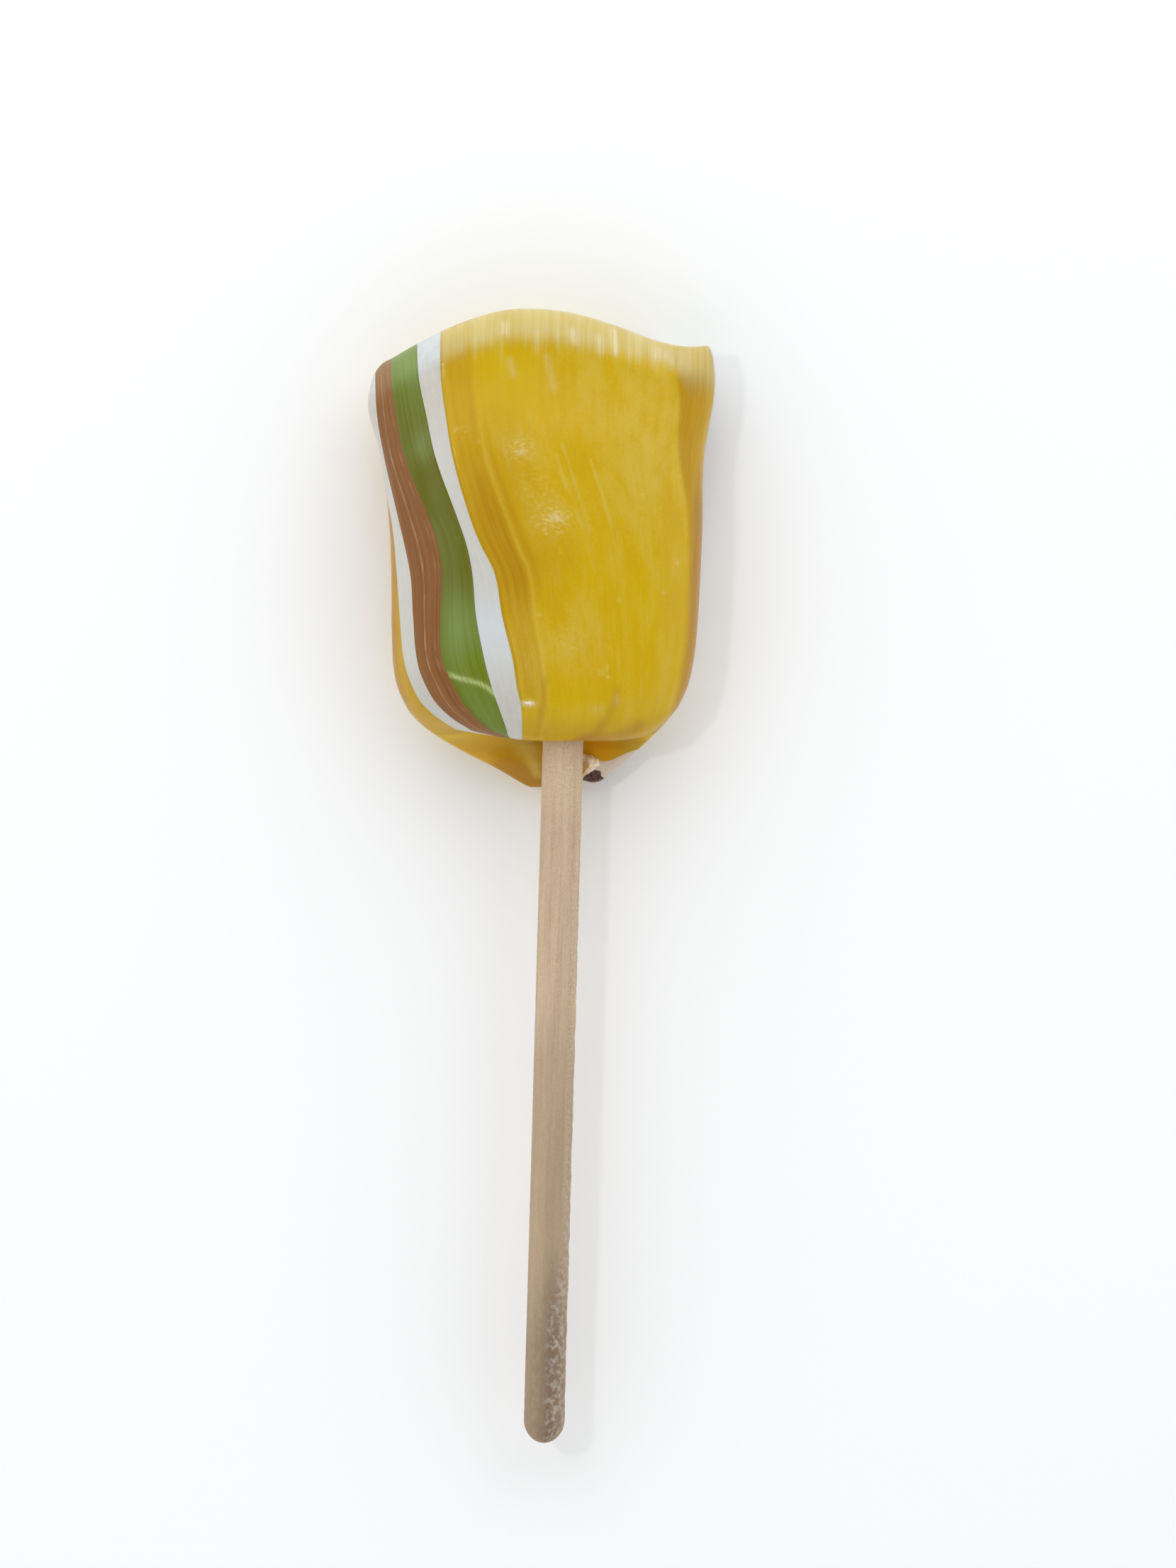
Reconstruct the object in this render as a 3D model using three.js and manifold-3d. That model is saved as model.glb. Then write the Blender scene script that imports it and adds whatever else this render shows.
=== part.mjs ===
// A hand-pulled lollipop that lies on its back: a flat cushion of yellow sugar with two groups of four
// coloured stripes, gathered round a round wooden stick. Millimetres, +Z up.
//
// The candy is worked out in a frame of its own: the origin is where the stick goes in under the front,
// X points right and Y points to the top as seen from above, and Z is the height above the floor.
// The last lines move everything so that the middle of the underside of the whole box is the origin.
import * as THREE from 'three';
import Module from 'manifold-3d';
import { mergeVertices } from 'three/addons/utils/BufferGeometryUtils.js';

// Driving dimensions
const STICK_DIAMETER = 5.5;
const STICK_LENGTH = 130;
const STICK_INSIDE = 35;
const STICK_LEAN = THREE.MathUtils.degToRad(1.6);
const STICK_HEIGHT = 8.2;
const STICK_END_ROUND = 2.4;
const STICK_SIDES = 32;
const TOP_ROUND = 5;
const CORNER_ROUND = { left: 2.5, right: 1.2 };
const STRIPE_DEPTH = 1.8;
const THIN_STRIPE_DEPTH = 0.7;
// Between these stations the stripes have their full depth.
const FULL_DEPTH = { from: 3, to: 9 };
const GAP = 0.3;

// Heights along the candy. Each station is one closed ring round it, from the pinched end behind the
// stick (0), over the crease (2), the rounded lower edge of the front (4) and the bend (6) to the
// shoulder (10), where the rounding of the top begins. That rounding ends in one line at 11.
const SHOULDER = 10;
const CREST = 11;
const CREASE = 2;
const LOBE = 4;
const BEND = 5;
// Up to this station the rings are level. From here to the shoulder they take on the wave of the top edge.
const WAVE_START = 8;

// Where each ring turns on the left and the right, as X and Y.
const LEFT_SIDE = [
  [-4.3, -6.2], [-9.1, -3.6], [-13.5, -1.35], [-17.4, 0.95], [-20.0, 3.1], [-21.6, 5.5],
  [-22.8, 9.0], [-23.2, 14.5], [-23.4, 27.5], [-24.6, 39.0], [-26.4, 50.0],
];
const RIGHT_SIDE = [
  [5.6, -4.7], [8.4, -2.7], [10.4, -0.85], [12.4, 1.0], [14.4, 3.2], [15.9, 5.3],
  [17.2, 8.6], [18.1, 14.5], [18.8, 27.5], [19.1, 39.0], [20.7, 50.0],
];
// How the outline turns at the two ends of the pinched edge, as the place that it would come from.
const LIP_TURN = { left: [-5.1, -3.7], right: [4.4, -3.3] };
// The middle of the front and of the back, as Y and height.
const FRONT = [
  [-6.3, 3.6], [-3.3, 6.2], [1.2, 6.4], [1.3, 9.2], [0.0, 11.9], [1.8, 14.8],
  [6.5, 16.2], [14.5, 16.5], [27.5, 16.7], [39.0, 16.2], [50.0, 14.6],
];
const BACK = [
  [-6.3, 3.6], [-4.6, 1.6], [-2.0, 0.9], [0.8, 0.6], [3.2, 0.35], [5.5, 0.1],
  [9.0, -0.1], [14.5, -0.35], [27.5, -0.4], [39.0, -0.3], [50.0, 1.6],
];
const SIDE_HEIGHT = [[3.6], [3.9], [4.8], [6.2], [7.4], [8.0], [8.2], [8.2], [8.2], [8.2], [8.1]];
// How square the ring is: 2 is an ellipse, more is fuller.
const FULLNESS = [[2.4], [2.4], [2.6], [3.0], [3.4], [4.0], [4.6], [5.0], [5.0], [4.6], [4.0]];
// How soon the lower edge of the front falls away towards each side: the left early, the right late.
const LOBE_SPREAD = { left: 1.5, right: 6.4, back: 3 };

// The wavy top edge, as X and Y.
const TOP_EDGE = [
  [-29, 49.9], [-24, 51.5], [-20.6, 53.4], [-14.8, 56.3], [-9, 58.2], [-4.7, 58.6],
  [1, 58.05], [6.8, 56.4], [12.5, 54.3], [16.5, 53.5], [20.7, 53.7], [25, 54.4],
];

// The shallow groove down the right of the front, and the same on the left of the back. Its places across
// the ring go with the stations.
const GROOVE = { width: 0.085, depth: 0.75, bottom: 31, top: 44 };
const GROOVE_PLACES = [[8.3, 0.9], [9, 0.853], [9.8, 0.8], [10.5, 0.75]];

// The edges between the stripes on the front, each as Y and X from the top down: white beside the left
// edge, brown, green, and the inner white with the yellow front beside it.
const STRIPE_EDGES = [
  [[58, -31], [50, -29], [44, -27.2], [39, -25.7], [34, -24.2], [30.3, -23.3], [24.6, -22.6], [16.9, -22.05],
    [11.1, -21.5], [7.3, -20.3], [4.4, -18.4], [1.5, -14.4]],
  [[58, -25.4], [49.5, -25.4], [43.8, -25.1], [38, -24.1], [30.3, -22.3], [22.6, -20.6], [16.9, -20.2],
    [11.1, -19.7], [7.3, -18.4], [4.4, -16.7], [1.5, -13.2]],
  [[58, -23.4], [49.5, -23.2], [43.8, -22.5], [38, -21.2], [30.3, -18.1], [26.5, -16.8], [22.6, -16.3],
    [16.9, -16.5], [11.1, -16.3], [7.3, -14.6], [4.4, -12.9], [1.5, -10]],
  [[58, -19.8], [49.5, -19.5], [43.8, -18.4], [38, -17.1], [30.3, -14.3], [26.5, -13], [22.6, -12.2],
    [16.9, -11.7], [11.1, -10.6], [7.3, -9.6], [4.4, -8.7], [1.5, -7.7]],
  [[58, -16.5], [49.5, -16.5], [43.8, -15.8], [38, -14.8], [30.3, -12.6], [26.5, -11.1], [22.6, -9.2],
    [16.9, -8.2], [11.1, -6.8], [7.3, -6.3], [4.4, -5.9], [1.5, -5.8]],
];
// In the crease the stripes of the front draw together beside the stick: their places across the ring, and
// the stations between which they come together, stay and part again.
const CREASE_EDGES = [-0.4, -0.36, -0.3, -0.25, -0.18];
const CREASE_PARTS = { end: 0.3, low: CREASE - 0.2, high: CREASE + 0.8 };
// The front's stripes start here, and the edges keep this angle between them.
const STRIPE_START = CREASE + 0.3;
const EDGE_STEP = 0.07;
const HALVINGS = 40;

// At the raised right corner the outer white of the back is wide and comes round to the front: how wide it
// is, how far it comes round and how far along the ring that reaches, in radians, and the stations between
// which it widens, comes round and goes back.
const CORNER = {
  white: 0.36,
  turn: 0.3,
  reach: 0.6,
  widens: [9, 9.8],
  comes: [9.2, 9.95],
  goes: [10.75, CREST],
};

// How many columns each band of a half ring has: the strip outside the stripes, the stripes, the middle.
const MARGIN_COLUMNS = 2;
const STRIPE_COLUMNS = [2, 2, 3, 2];
const MIDDLE_COLUMNS = 12;
const ROWS = [
  0, 0.12, 0.3, 0.55, 0.85, 1.2, 1.6, 2, 2.4, 2.8, 3.2, 3.6, 4, 4.4, 4.8, 5.2, 5.6, 6, 6.5, 7,
  7.4, 7.8, 8.2, 8.6, 9, 9.3, 9.6, 9.8, 10, 10.2, 10.4, 10.6, 10.75, 10.9, 11,
];

const FINISHES = {
  yellow: { color: 0xd9a91c, roughness: 0.25 },
  white: { color: 0xe4e3de, roughness: 0.3 },
  green: { color: 0x7d9134, roughness: 0.3 },
  brown: { color: 0x93603a, roughness: 0.3 },
  wood: { color: 0xc9ab8b, roughness: 0.8 },
};

const wasm = await Module();
wasm.setup();

// A smooth curve through evenly spaced stations, with the values before the first and past the last.
function along(points, s, before, after) {
  const last = points.length - 1;
  const i = Math.min(Math.max(Math.floor(s), 0), last - 1);
  const t = s - i;
  const p1 = points[i];
  const p2 = points[i + 1];
  const p0 = i > 0 ? points[i - 1] : before ?? p1.map((v, k) => 2 * v - p2[k]);
  const p3 = i + 2 <= last ? points[i + 2] : after ?? p2.map((v, k) => 2 * v - p1[k]);
  return p1.map((v, k) => {
    const slope1 = (p2[k] - p0[k]) / 2;
    const slope2 = (p3[k] - v) / 2;
    return hermite(v, p2[k], slope1, slope2, t);
  });
}

function hermite(v1, v2, slope1, slope2, t) {
  const t2 = t * t;
  const t3 = t2 * t;
  const start = v1 * (2 * t3 - 3 * t2 + 1) + slope1 * (t3 - 2 * t2 + t);
  return start + v2 * (3 * t2 - 2 * t3) + slope2 * (t3 - t2);
}

// A smooth curve through points whose first value rises or falls, read at one such value.
function curveAt(points, at) {
  const rising = points[1][0] > points[0][0];
  const list = rising ? points : [...points].reverse();
  const last = list.length - 1;
  if (at <= list[0][0]) return list[0][1];
  if (at >= list[last][0]) return list[last][1];
  let i = 0;
  while (list[i + 1][0] < at) i += 1;
  const slope = (k) => {
    const low = list[Math.max(k - 1, 0)];
    const high = list[Math.min(k + 1, last)];
    return (high[1] - low[1]) / (high[0] - low[0]);
  };
  const width = list[i + 1][0] - list[i][0];
  const t = (at - list[i][0]) / width;
  return hermite(list[i][1], list[i + 1][1], slope(i) * width, slope(i + 1) * width, t);
}

function smooth(low, high, value) {
  const t = Math.min(Math.max((value - low) / (high - low), 0), 1);
  return t * t * (3 - 2 * t);
}

// The ring at one station: its two turns, its middle heights and how it is rounded.
function ring(s) {
  const body = Math.min(s, SHOULDER);
  const turn = Math.max(s - SHOULDER, 0) * (Math.PI / 2);
  const flatEnd = (points) => points[SHOULDER - 1];
  const left = along(LEFT_SIDE, body, LIP_TURN.left, [flatEnd(LEFT_SIDE)[0], 61]);
  const right = along(RIGHT_SIDE, body, LIP_TURN.right, [flatEnd(RIGHT_SIDE)[0], 61]);
  const front = along(FRONT, body, BACK[1], [61, flatEnd(FRONT)[1]]);
  const back = along(BACK, body, FRONT[1], [61, flatEnd(BACK)[1]]);
  const [sideHeight] = along(SIDE_HEIGHT, body);
  const [fullness] = along(FULLNESS, body);
  const inward = 1 - Math.cos(turn);
  return {
    left: [left[0] + CORNER_ROUND.left * inward, left[1]],
    right: [right[0] - CORNER_ROUND.right * inward, right[1]],
    front: [front[0], sideHeight + (front[1] - sideHeight) * Math.cos(turn)],
    back: [back[0], sideHeight + (back[1] - sideHeight) * Math.cos(turn)],
    sideHeight,
    fullness,
    drop: TOP_ROUND * (1 - Math.sin(turn)),
    wave: Math.min(Math.max((s - WAVE_START) / (SHOULDER - WAVE_START), 0), 1) ** 2,
  };
}

// A point of the skin: angle 0 is the right turn, 90 degrees the front, 180 the left turn.
function skinPoint(angle, s) {
  const r = ring(s);
  const across = Math.cos(angle);
  const isFront = Math.sin(angle) >= 0;
  const x = (r.left[0] + r.right[0]) / 2 + (across * (r.right[0] - r.left[0])) / 2;
  const [middleY, middleZ] = isFront ? r.front : r.back;
  const sideSpread = across < 0 ? LOBE_SPREAD.left : LOBE_SPREAD.right;
  const seen = isFront ? smooth(0, 1, s) : 0;
  const spread = LOBE_SPREAD.back + (sideSpread - LOBE_SPREAD.back) * seen;
  const sideY = r.left[1] + ((r.right[1] - r.left[1]) * (1 + across)) / 2;
  const level = sideY + (middleY - sideY) * (1 - Math.abs(across) ** spread);
  const lift = Math.sqrt(Math.max(1 - Math.abs(across) ** r.fullness, 0));
  const y = s > SHOULDER
    ? curveAt(TOP_EDGE, x) - r.drop
    : level + r.wave * (curveAt(TOP_EDGE, x) - TOP_ROUND - LEFT_SIDE[SHOULDER][1]);
  const groove = grooveDepth(isFront ? across : -across, y, s) * Math.min(r.drop / TOP_ROUND, 1);
  const z = r.sideHeight + (middleZ - r.sideHeight) * lift + (isFront ? -groove : groove);
  return new THREE.Vector3(x, y, Math.max(z, 0));
}

function grooveDepth(across, y, s) {
  const side = (across - curveAt(GROOVE_PLACES, s)) / GROOVE.width;
  return GROOVE.depth * Math.exp(-side * side) * smooth(GROOVE.bottom, GROOVE.top, y);
}

// The same point, moved into the candy.
function innerPoint(angle, s, depth) {
  const step = 0.01;
  const low = Math.max(s - step, 2 * step);
  const high = Math.min(s + step, CREST - 2 * step);
  const round = skinPoint(angle + step, s).sub(skinPoint(angle - step, s));
  const up = skinPoint(angle, high).sub(skinPoint(angle, low));
  const inward = round.cross(up).normalize();
  return skinPoint(angle, s).addScaledVector(inward, depth);
}

function stripeDepth(s) {
  const low = smooth(0, FULL_DEPTH.from, s);
  const high = 1 - smooth(FULL_DEPTH.to, CREST, s);
  return THIN_STRIPE_DEPTH + (STRIPE_DEPTH - THIN_STRIPE_DEPTH) * Math.min(low, high);
}

// The angle on ring s where the front view crosses one stripe edge.
function crossing(edge, s) {
  const outside = (angle) => {
    const p = skinPoint(angle, s);
    return p.x - curveAt(edge, p.y);
  };
  let low = Math.PI / 2;
  let high = Math.PI;
  for (let k = 0; k < HALVINGS; k += 1) {
    const middle = (low + high) / 2;
    if (outside(middle) > 0) low = middle;
    else high = middle;
  }
  return (low + high) / 2;
}

// The angles of the five stripe edges on ring s, kept in order near the left turn.
function seenEdges(s) {
  const angles = STRIPE_EDGES.map((edge) => crossing(edge, s));
  angles.forEach((angle, i) => {
    const limit = (i === 0 ? Math.PI : angles[i - 1]) - EDGE_STEP;
    angles[i] = Math.min(angle, limit);
  });
  return angles;
}

const bendEdges = seenEdges(BEND);
const lobeEdges = seenEdges(LOBE);
const creaseEdges = CREASE_EDGES.map((across) => Math.acos(across));

function plainEdges(s) {
  return s > BEND ? seenEdges(s) : bendEdges;
}

function frontEdges(s) {
  if (s >= LOBE) return seenEdges(s);
  const toCrease = smooth(CREASE_PARTS.high, LOBE, s);
  const toEnd = smooth(CREASE_PARTS.end, CREASE_PARTS.low, s);
  return creaseEdges.map((angle, i) => {
    const hidden = angle + (lobeEdges[i] - angle) * toCrease;
    return bendEdges[i] + (hidden - bendEdges[i]) * toEnd;
  });
}

// The edges at the right turn, where the outer white widens towards the raised corner.
function rightEdges(s) {
  const edges = plainEdges(s);
  const wide = CORNER.white * smooth(...CORNER.widens, s);
  return edges.map((angle, i) => (i === 0 ? angle : Math.min(angle, edges[0] - wide - EDGE_STEP * (i - 1))));
}

// Columns run round the ring: the front from right to left, then the back from left to right.
const HALF = 2 * (MARGIN_COLUMNS + STRIPE_COLUMNS.reduce((sum, n) => sum + n)) + MIDDLE_COLUMNS;
const COLUMNS = 2 * HALF;

// Angles of one half ring's columns between its right edges and its left edges.
function halfColumns(right, left) {
  const bands = [MARGIN_COLUMNS, ...STRIPE_COLUMNS];
  const stops = [0, ...right.map((angle) => Math.PI - angle), ...[...left].reverse(), Math.PI];
  const counts = [...bands, MIDDLE_COLUMNS, ...[...bands].reverse()];
  const angles = [0];
  counts.forEach((count, band) => {
    for (let k = 1; k <= count; k += 1) {
      angles.push(stops[band] + ((stops[band + 1] - stops[band]) * k) / count);
    }
  });
  return angles;
}

const columnCache = new Map();

function columnAngles(s) {
  if (!columnCache.has(s)) {
    const right = rightEdges(s);
    const front = halfColumns(right, frontEdges(s));
    const back = halfColumns(right, plainEdges(s)).map((angle) => 2 * Math.PI - angle).reverse();
    const turned = CORNER.turn * smooth(...CORNER.comes, s) * (1 - smooth(...CORNER.goes, s));
    const round = (angle) => {
      const fromTurn = (angle > Math.PI ? angle - 2 * Math.PI : angle) / CORNER.reach;
      return angle + turned * Math.exp(-fromTurn * fromTurn);
    };
    columnCache.set(s, [...front, ...back.slice(1)].map(round));
  }
  return columnCache.get(s);
}

// The angle of a column place between two whole columns, and the station of a row place.
function angleAt(column, s) {
  const turns = Math.floor(column / COLUMNS);
  const place = column - turns * COLUMNS;
  const angles = columnAngles(s);
  const i = Math.min(Math.floor(place), COLUMNS - 1);
  return turns * 2 * Math.PI + angles[i] + (angles[i + 1] - angles[i]) * (place - i);
}

function stationAt(row) {
  const j = Math.min(Math.max(Math.floor(row), 0), ROWS.length - 2);
  return ROWS[j] + (ROWS[j + 1] - ROWS[j]) * (row - j);
}

// Which stripe a cell of the skin belongs to: 'candy', or the name of its stripe.
const NAMES = ['outer_white', 'brown', 'green', 'inner_white'];
const LAST_ROW = ROWS.length - 2;
const END_BROWN_ROWS = [1, 3];
const END_WHITE_ROWS = [3, 7];
const END_COLUMNS = 9;

function cellOwner(column, row) {
  const i = ((column % COLUMNS) + COLUMNS) % COLUMNS;
  if (row < 1 || row >= LAST_ROW) return 'candy';
  const front = i < HALF;
  const fromLeft = front ? HALF - 1 - i : i - HALF;
  const fromTurn = front ? fromLeft : HALF - 1 - fromLeft;
  let edge = MARGIN_COLUMNS;
  let stripe = -1;
  STRIPE_COLUMNS.forEach((count, k) => {
    if (fromTurn >= edge && fromTurn < edge + count) stripe = k;
    edge += count;
  });
  if (front) {
    if (stripe >= 0 && ROWS[row] >= STRIPE_START) return `front_${NAMES[stripe]}`;
    if (i >= END_COLUMNS) return 'candy';
  }
  // The stripes of the back come round to the front at the right end of the pinched edge.
  const beyondWhite = front || fromTurn < MARGIN_COLUMNS;
  const beyondBrown = beyondWhite || stripe === 0;
  if (beyondBrown && row >= END_BROWN_ROWS[0] && row < END_BROWN_ROWS[1]) return 'back_brown';
  if (beyondWhite && row >= END_WHITE_ROWS[0] && row < END_WHITE_ROWS[1]) return 'back_outer_white';
  return !front && stripe >= 0 ? `back_${NAMES[stripe]}` : 'candy';
}

// A closed body from quads of points, with the folded ones left out.
function solidFrom(quads) {
  const positions = [];
  const add = (a, b, c) => {
    const area = b.clone().sub(a).cross(c.clone().sub(a)).length();
    if (area > 1e-9) [a, b, c].forEach((p) => positions.push(p.x, p.y, p.z));
  };
  quads.forEach(([a, b, c, d]) => {
    add(a, b, c);
    add(a, c, d);
  });
  const geometry = new THREE.BufferGeometry();
  geometry.setAttribute('position', new THREE.Float32BufferAttribute(positions, 3));
  return mergeVertices(geometry, 1e-4);
}

// The walls round one cell, wherever its neighbour is not of the same kind.
function cellWalls(column, row, sameKind, outer, inner) {
  const corners = [[0, 0], [1, 0], [1, 1], [0, 1]];
  const neighbours = [[0, -1], [1, 0], [0, 1], [-1, 0]];
  const quads = [];
  neighbours.forEach(([di, dj], side) => {
    if (sameKind(column + di, row + dj)) return;
    const [ai, aj] = corners[side];
    const [bi, bj] = corners[(side + 1) % 4];
    const a = [column + ai, row + aj];
    const b = [column + bi, row + bj];
    quads.push([outer(...a), outer(...b), inner(...b), inner(...a)]);
  });
  return quads;
}

function eachCell(visit) {
  for (let row = 0; row < ROWS.length - 1; row += 1) {
    for (let column = 0; column < COLUMNS; column += 1) visit(column, row);
  }
}

function cellQuad(column, row, point) {
  return [point(column, row), point(column, row + 1), point(column + 1, row + 1), point(column + 1, row)];
}

function pointStore(make) {
  const points = new Map();
  return (column, row) => {
    const i = ((column % COLUMNS) + COLUMNS) % COLUMNS;
    const key = row * COLUMNS + i;
    if (!points.has(key)) points.set(key, make(i, row));
    return points.get(key).clone();
  };
}

// The yellow candy: its skin, with a channel for each group of stripes.
function candySolid() {
  const outer = pointStore((i, j) => skinPoint(angleAt(i, ROWS[j]), ROWS[j]));
  const inner = pointStore((i, j) => innerPoint(angleAt(i, ROWS[j]), ROWS[j], stripeDepth(ROWS[j])));
  const quads = [];
  eachCell((column, row) => {
    const isCandy = cellOwner(column, row) === 'candy';
    quads.push(cellQuad(column, row, isCandy ? outer : inner));
    if (isCandy) return;
    const isChannel = (i, j) => cellOwner(i, j) !== 'candy';
    cellWalls(column, row, isChannel, outer, inner).forEach((quad) => quads.push(quad.reverse()));
  });
  return solidFrom(quads);
}

// A border moves at most this part of a cell.
const MOST_MOVE = 0.45;

// One stripe: a strip as deep as its channel, less the gap, and a gap inside its borders.
function stripeSolid(name) {
  const place = (i, j) => {
    const owners = [[-1, -1], [0, -1], [-1, 0], [0, 0]].map(([di, dj]) => cellOwner(i + di, j + dj));
    const [lowLeft, lowRight, highLeft, highRight] = owners.map((owner) => (owner === name ? 1 : 0));
    const towards = {
      column: Math.sign(lowRight + highRight - lowLeft - highLeft),
      row: Math.sign(highLeft + highRight - lowLeft - lowRight),
    };
    const clearance = owners.includes('candy') ? GAP : GAP / 2;
    const here = skinPoint(angleAt(i, ROWS[j]), ROWS[j]);
    const move = (di, dj) => {
      const s = stationAt(j + dj);
      return clearance / Math.max(skinPoint(angleAt(i + di, s), s).distanceTo(here), 1e-3);
    };
    const di = towards.column ? towards.column * Math.min(move(towards.column, 0), MOST_MOVE) : 0;
    const dj = towards.row ? towards.row * Math.min(move(0, towards.row), MOST_MOVE) : 0;
    const s = stationAt(j + dj);
    return [angleAt(i + di, s), s];
  };
  const outer = pointStore((i, j) => skinPoint(...place(i, j)));
  const inner = pointStore((i, j) => {
    const [angle, s] = place(i, j);
    return innerPoint(angle, s, stripeDepth(s) - GAP);
  });
  const quads = [];
  eachCell((column, row) => {
    if (cellOwner(column, row) !== name) return;
    quads.push(cellQuad(column, row, outer));
    quads.push(cellQuad(column, row, inner).reverse());
    quads.push(...cellWalls(column, row, (i, j) => cellOwner(i, j) === name, outer, inner));
  });
  return solidFrom(quads);
}

// The stick, or the hole for it: a round bar from a rounded lower end up into the candy.
function stickSolid(radius, length, endRound) {
  const profile = [new THREE.Vector2(0, 0)];
  const steps = 6;
  for (let k = 0; k <= steps; k += 1) {
    const turn = (k / steps) * (Math.PI / 2);
    profile.push(new THREE.Vector2(
      radius - endRound + endRound * Math.sin(turn),
      endRound * (1 - Math.cos(turn)),
    ));
  }
  profile.push(new THREE.Vector2(radius, length), new THREE.Vector2(0, length));
  const bar = new THREE.LatheGeometry(profile, STICK_SIDES);
  bar.translate(0, STICK_INSIDE - STICK_LENGTH, 0);
  bar.rotateZ(-STICK_LEAN);
  bar.translate(0, 0, STICK_HEIGHT);
  bar.deleteAttribute('normal');
  bar.deleteAttribute('uv');
  return mergeVertices(bar, 1e-4);
}

function toManifold(geometry) {
  const vertProperties = new Float32Array(geometry.attributes.position.array);
  const triVerts = new Uint32Array(geometry.index.array);
  return new wasm.Manifold(new wasm.Mesh({ numProp: 3, vertProperties, triVerts }));
}

function toGeometry(manifold) {
  const mesh = manifold.getMesh();
  const geometry = new THREE.BufferGeometry();
  geometry.setAttribute('position', new THREE.Float32BufferAttribute(mesh.vertProperties, 3));
  geometry.setIndex(new THREE.Uint32BufferAttribute(mesh.triVerts, 1));
  return geometry;
}

function namedMesh(name, geometry, finish) {
  geometry.computeVertexNormals();
  const material = new THREE.MeshStandardMaterial({ ...finish, metalness: 0 });
  const mesh = new THREE.Mesh(geometry, material);
  mesh.name = name;
  return mesh;
}

const lollipop = new THREE.Group();

const hole = stickSolid(STICK_DIAMETER / 2 + GAP, STICK_LENGTH + GAP, STICK_END_ROUND);
const candy = toManifold(candySolid()).subtract(toManifold(hole));
lollipop.add(namedMesh('candy', toGeometry(candy), FINISHES.yellow));

for (const side of ['front', 'back']) {
  NAMES.forEach((stripe) => {
    const name = `${side}_${stripe}`;
    const finish = stripe.includes('white') ? FINISHES.white : FINISHES[stripe];
    lollipop.add(namedMesh(`${name}_stripe`, stripeSolid(name), finish));
  });
}

const stick = stickSolid(STICK_DIAMETER / 2, STICK_LENGTH, STICK_END_ROUND);
lollipop.add(namedMesh('stick', stick, FINISHES.wood));

const box = new THREE.Box3().setFromObject(lollipop);
const middle = box.getCenter(new THREE.Vector3());
lollipop.position.set(-middle.x, -middle.y, -box.min.z);

export default lollipop;
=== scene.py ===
"""A hand-pulled lollipop that lies on its back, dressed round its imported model.

The candy is worked out in millimetres in a frame of its own: the origin is where the stick goes in under
the front, X points right and Y to the top as seen from above, and Z is the height above the floor. SHIFT
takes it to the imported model's frame, and MM to metres.
"""
import math

import bmesh
import bpy
import numpy as np
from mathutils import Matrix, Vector


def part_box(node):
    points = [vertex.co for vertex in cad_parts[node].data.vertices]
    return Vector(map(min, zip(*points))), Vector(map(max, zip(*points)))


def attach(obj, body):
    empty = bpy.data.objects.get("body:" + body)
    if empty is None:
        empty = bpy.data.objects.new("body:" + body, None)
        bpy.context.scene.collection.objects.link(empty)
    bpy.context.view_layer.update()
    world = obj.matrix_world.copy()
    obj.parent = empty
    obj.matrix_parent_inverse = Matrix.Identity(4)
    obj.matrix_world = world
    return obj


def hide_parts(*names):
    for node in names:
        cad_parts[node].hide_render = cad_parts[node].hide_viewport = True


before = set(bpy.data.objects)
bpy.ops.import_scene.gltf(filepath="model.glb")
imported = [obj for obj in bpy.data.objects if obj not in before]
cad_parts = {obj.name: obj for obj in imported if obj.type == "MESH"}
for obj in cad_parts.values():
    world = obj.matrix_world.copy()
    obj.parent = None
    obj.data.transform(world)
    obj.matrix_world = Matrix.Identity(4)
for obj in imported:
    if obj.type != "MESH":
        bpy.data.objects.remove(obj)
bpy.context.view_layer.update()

MM = 0.001

# The stick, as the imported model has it
STICK_RADIUS = 2.75
STICK_LENGTH = 130.0
STICK_INSIDE = 35.0
STICK_LEAN = math.radians(1.6)
STICK_HEIGHT = 8.2
STICK_END = 3.2

# The top edge, its corners and how deep the stripes go
TOP_ROUND = 5.0
CORNER_ROUND_LEFT = 2.5
CORNER_ROUND_RIGHT = 1.2
STRIPE_DEPTH = 1.5
THIN_STRIPE_DEPTH = 0.5

# Stations along the candy, from the pinched end behind the stick to the crest of the top edge
CREASE = 2
LOBE = 4
BEND = 5
SHOULDER = 10
CREST = 11

# Where each ring turns on the left and the right, as X and Y
LEFT_SIDE = [
    (-4.3, -6.2), (-9.1, -3.6), (-13.5, -1.35), (-17.4, 0.95), (-20.0, 3.1), (-21.6, 5.5),
    (-22.8, 9.0), (-23.2, 14.5), (-23.4, 27.5), (-24.6, 39.0), (-26.4, 50.0),
]
RIGHT_SIDE = [
    (5.6, -4.7), (8.4, -2.7), (10.4, -0.85), (12.4, 1.0), (14.4, 3.2), (15.9, 5.3),
    (17.2, 8.6), (18.1, 14.5), (18.8, 27.5), (19.1, 39.0), (20.7, 50.0),
]
# The middle of the front and of the back, as Y and height
FRONT = [
    (-6.3, 3.6), (-3.3, 6.2), (1.2, 6.4), (1.3, 9.2), (0.0, 11.9), (1.8, 14.8),
    (6.5, 16.2), (14.5, 16.5), (27.5, 16.7), (39.0, 16.2), (50.0, 14.6),
]
BACK = [
    (-6.3, 3.6), (-4.6, 1.6), (-2.0, 0.9), (0.8, 0.6), (3.2, 0.35), (5.5, 0.1),
    (9.0, -0.1), (14.5, -0.35), (27.5, -0.4), (39.0, -0.3), (50.0, 1.6),
]
SIDE_HEIGHT = [3.6, 3.9, 4.8, 6.2, 7.4, 8.0, 8.2, 8.2, 8.2, 8.2, 8.1]
# How square the ring is: 2 is an ellipse, more is fuller
FULLNESS = [2.4, 2.4, 2.6, 3.0, 3.4, 4.0, 4.6, 5.0, 5.0, 4.6, 4.0]
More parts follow.
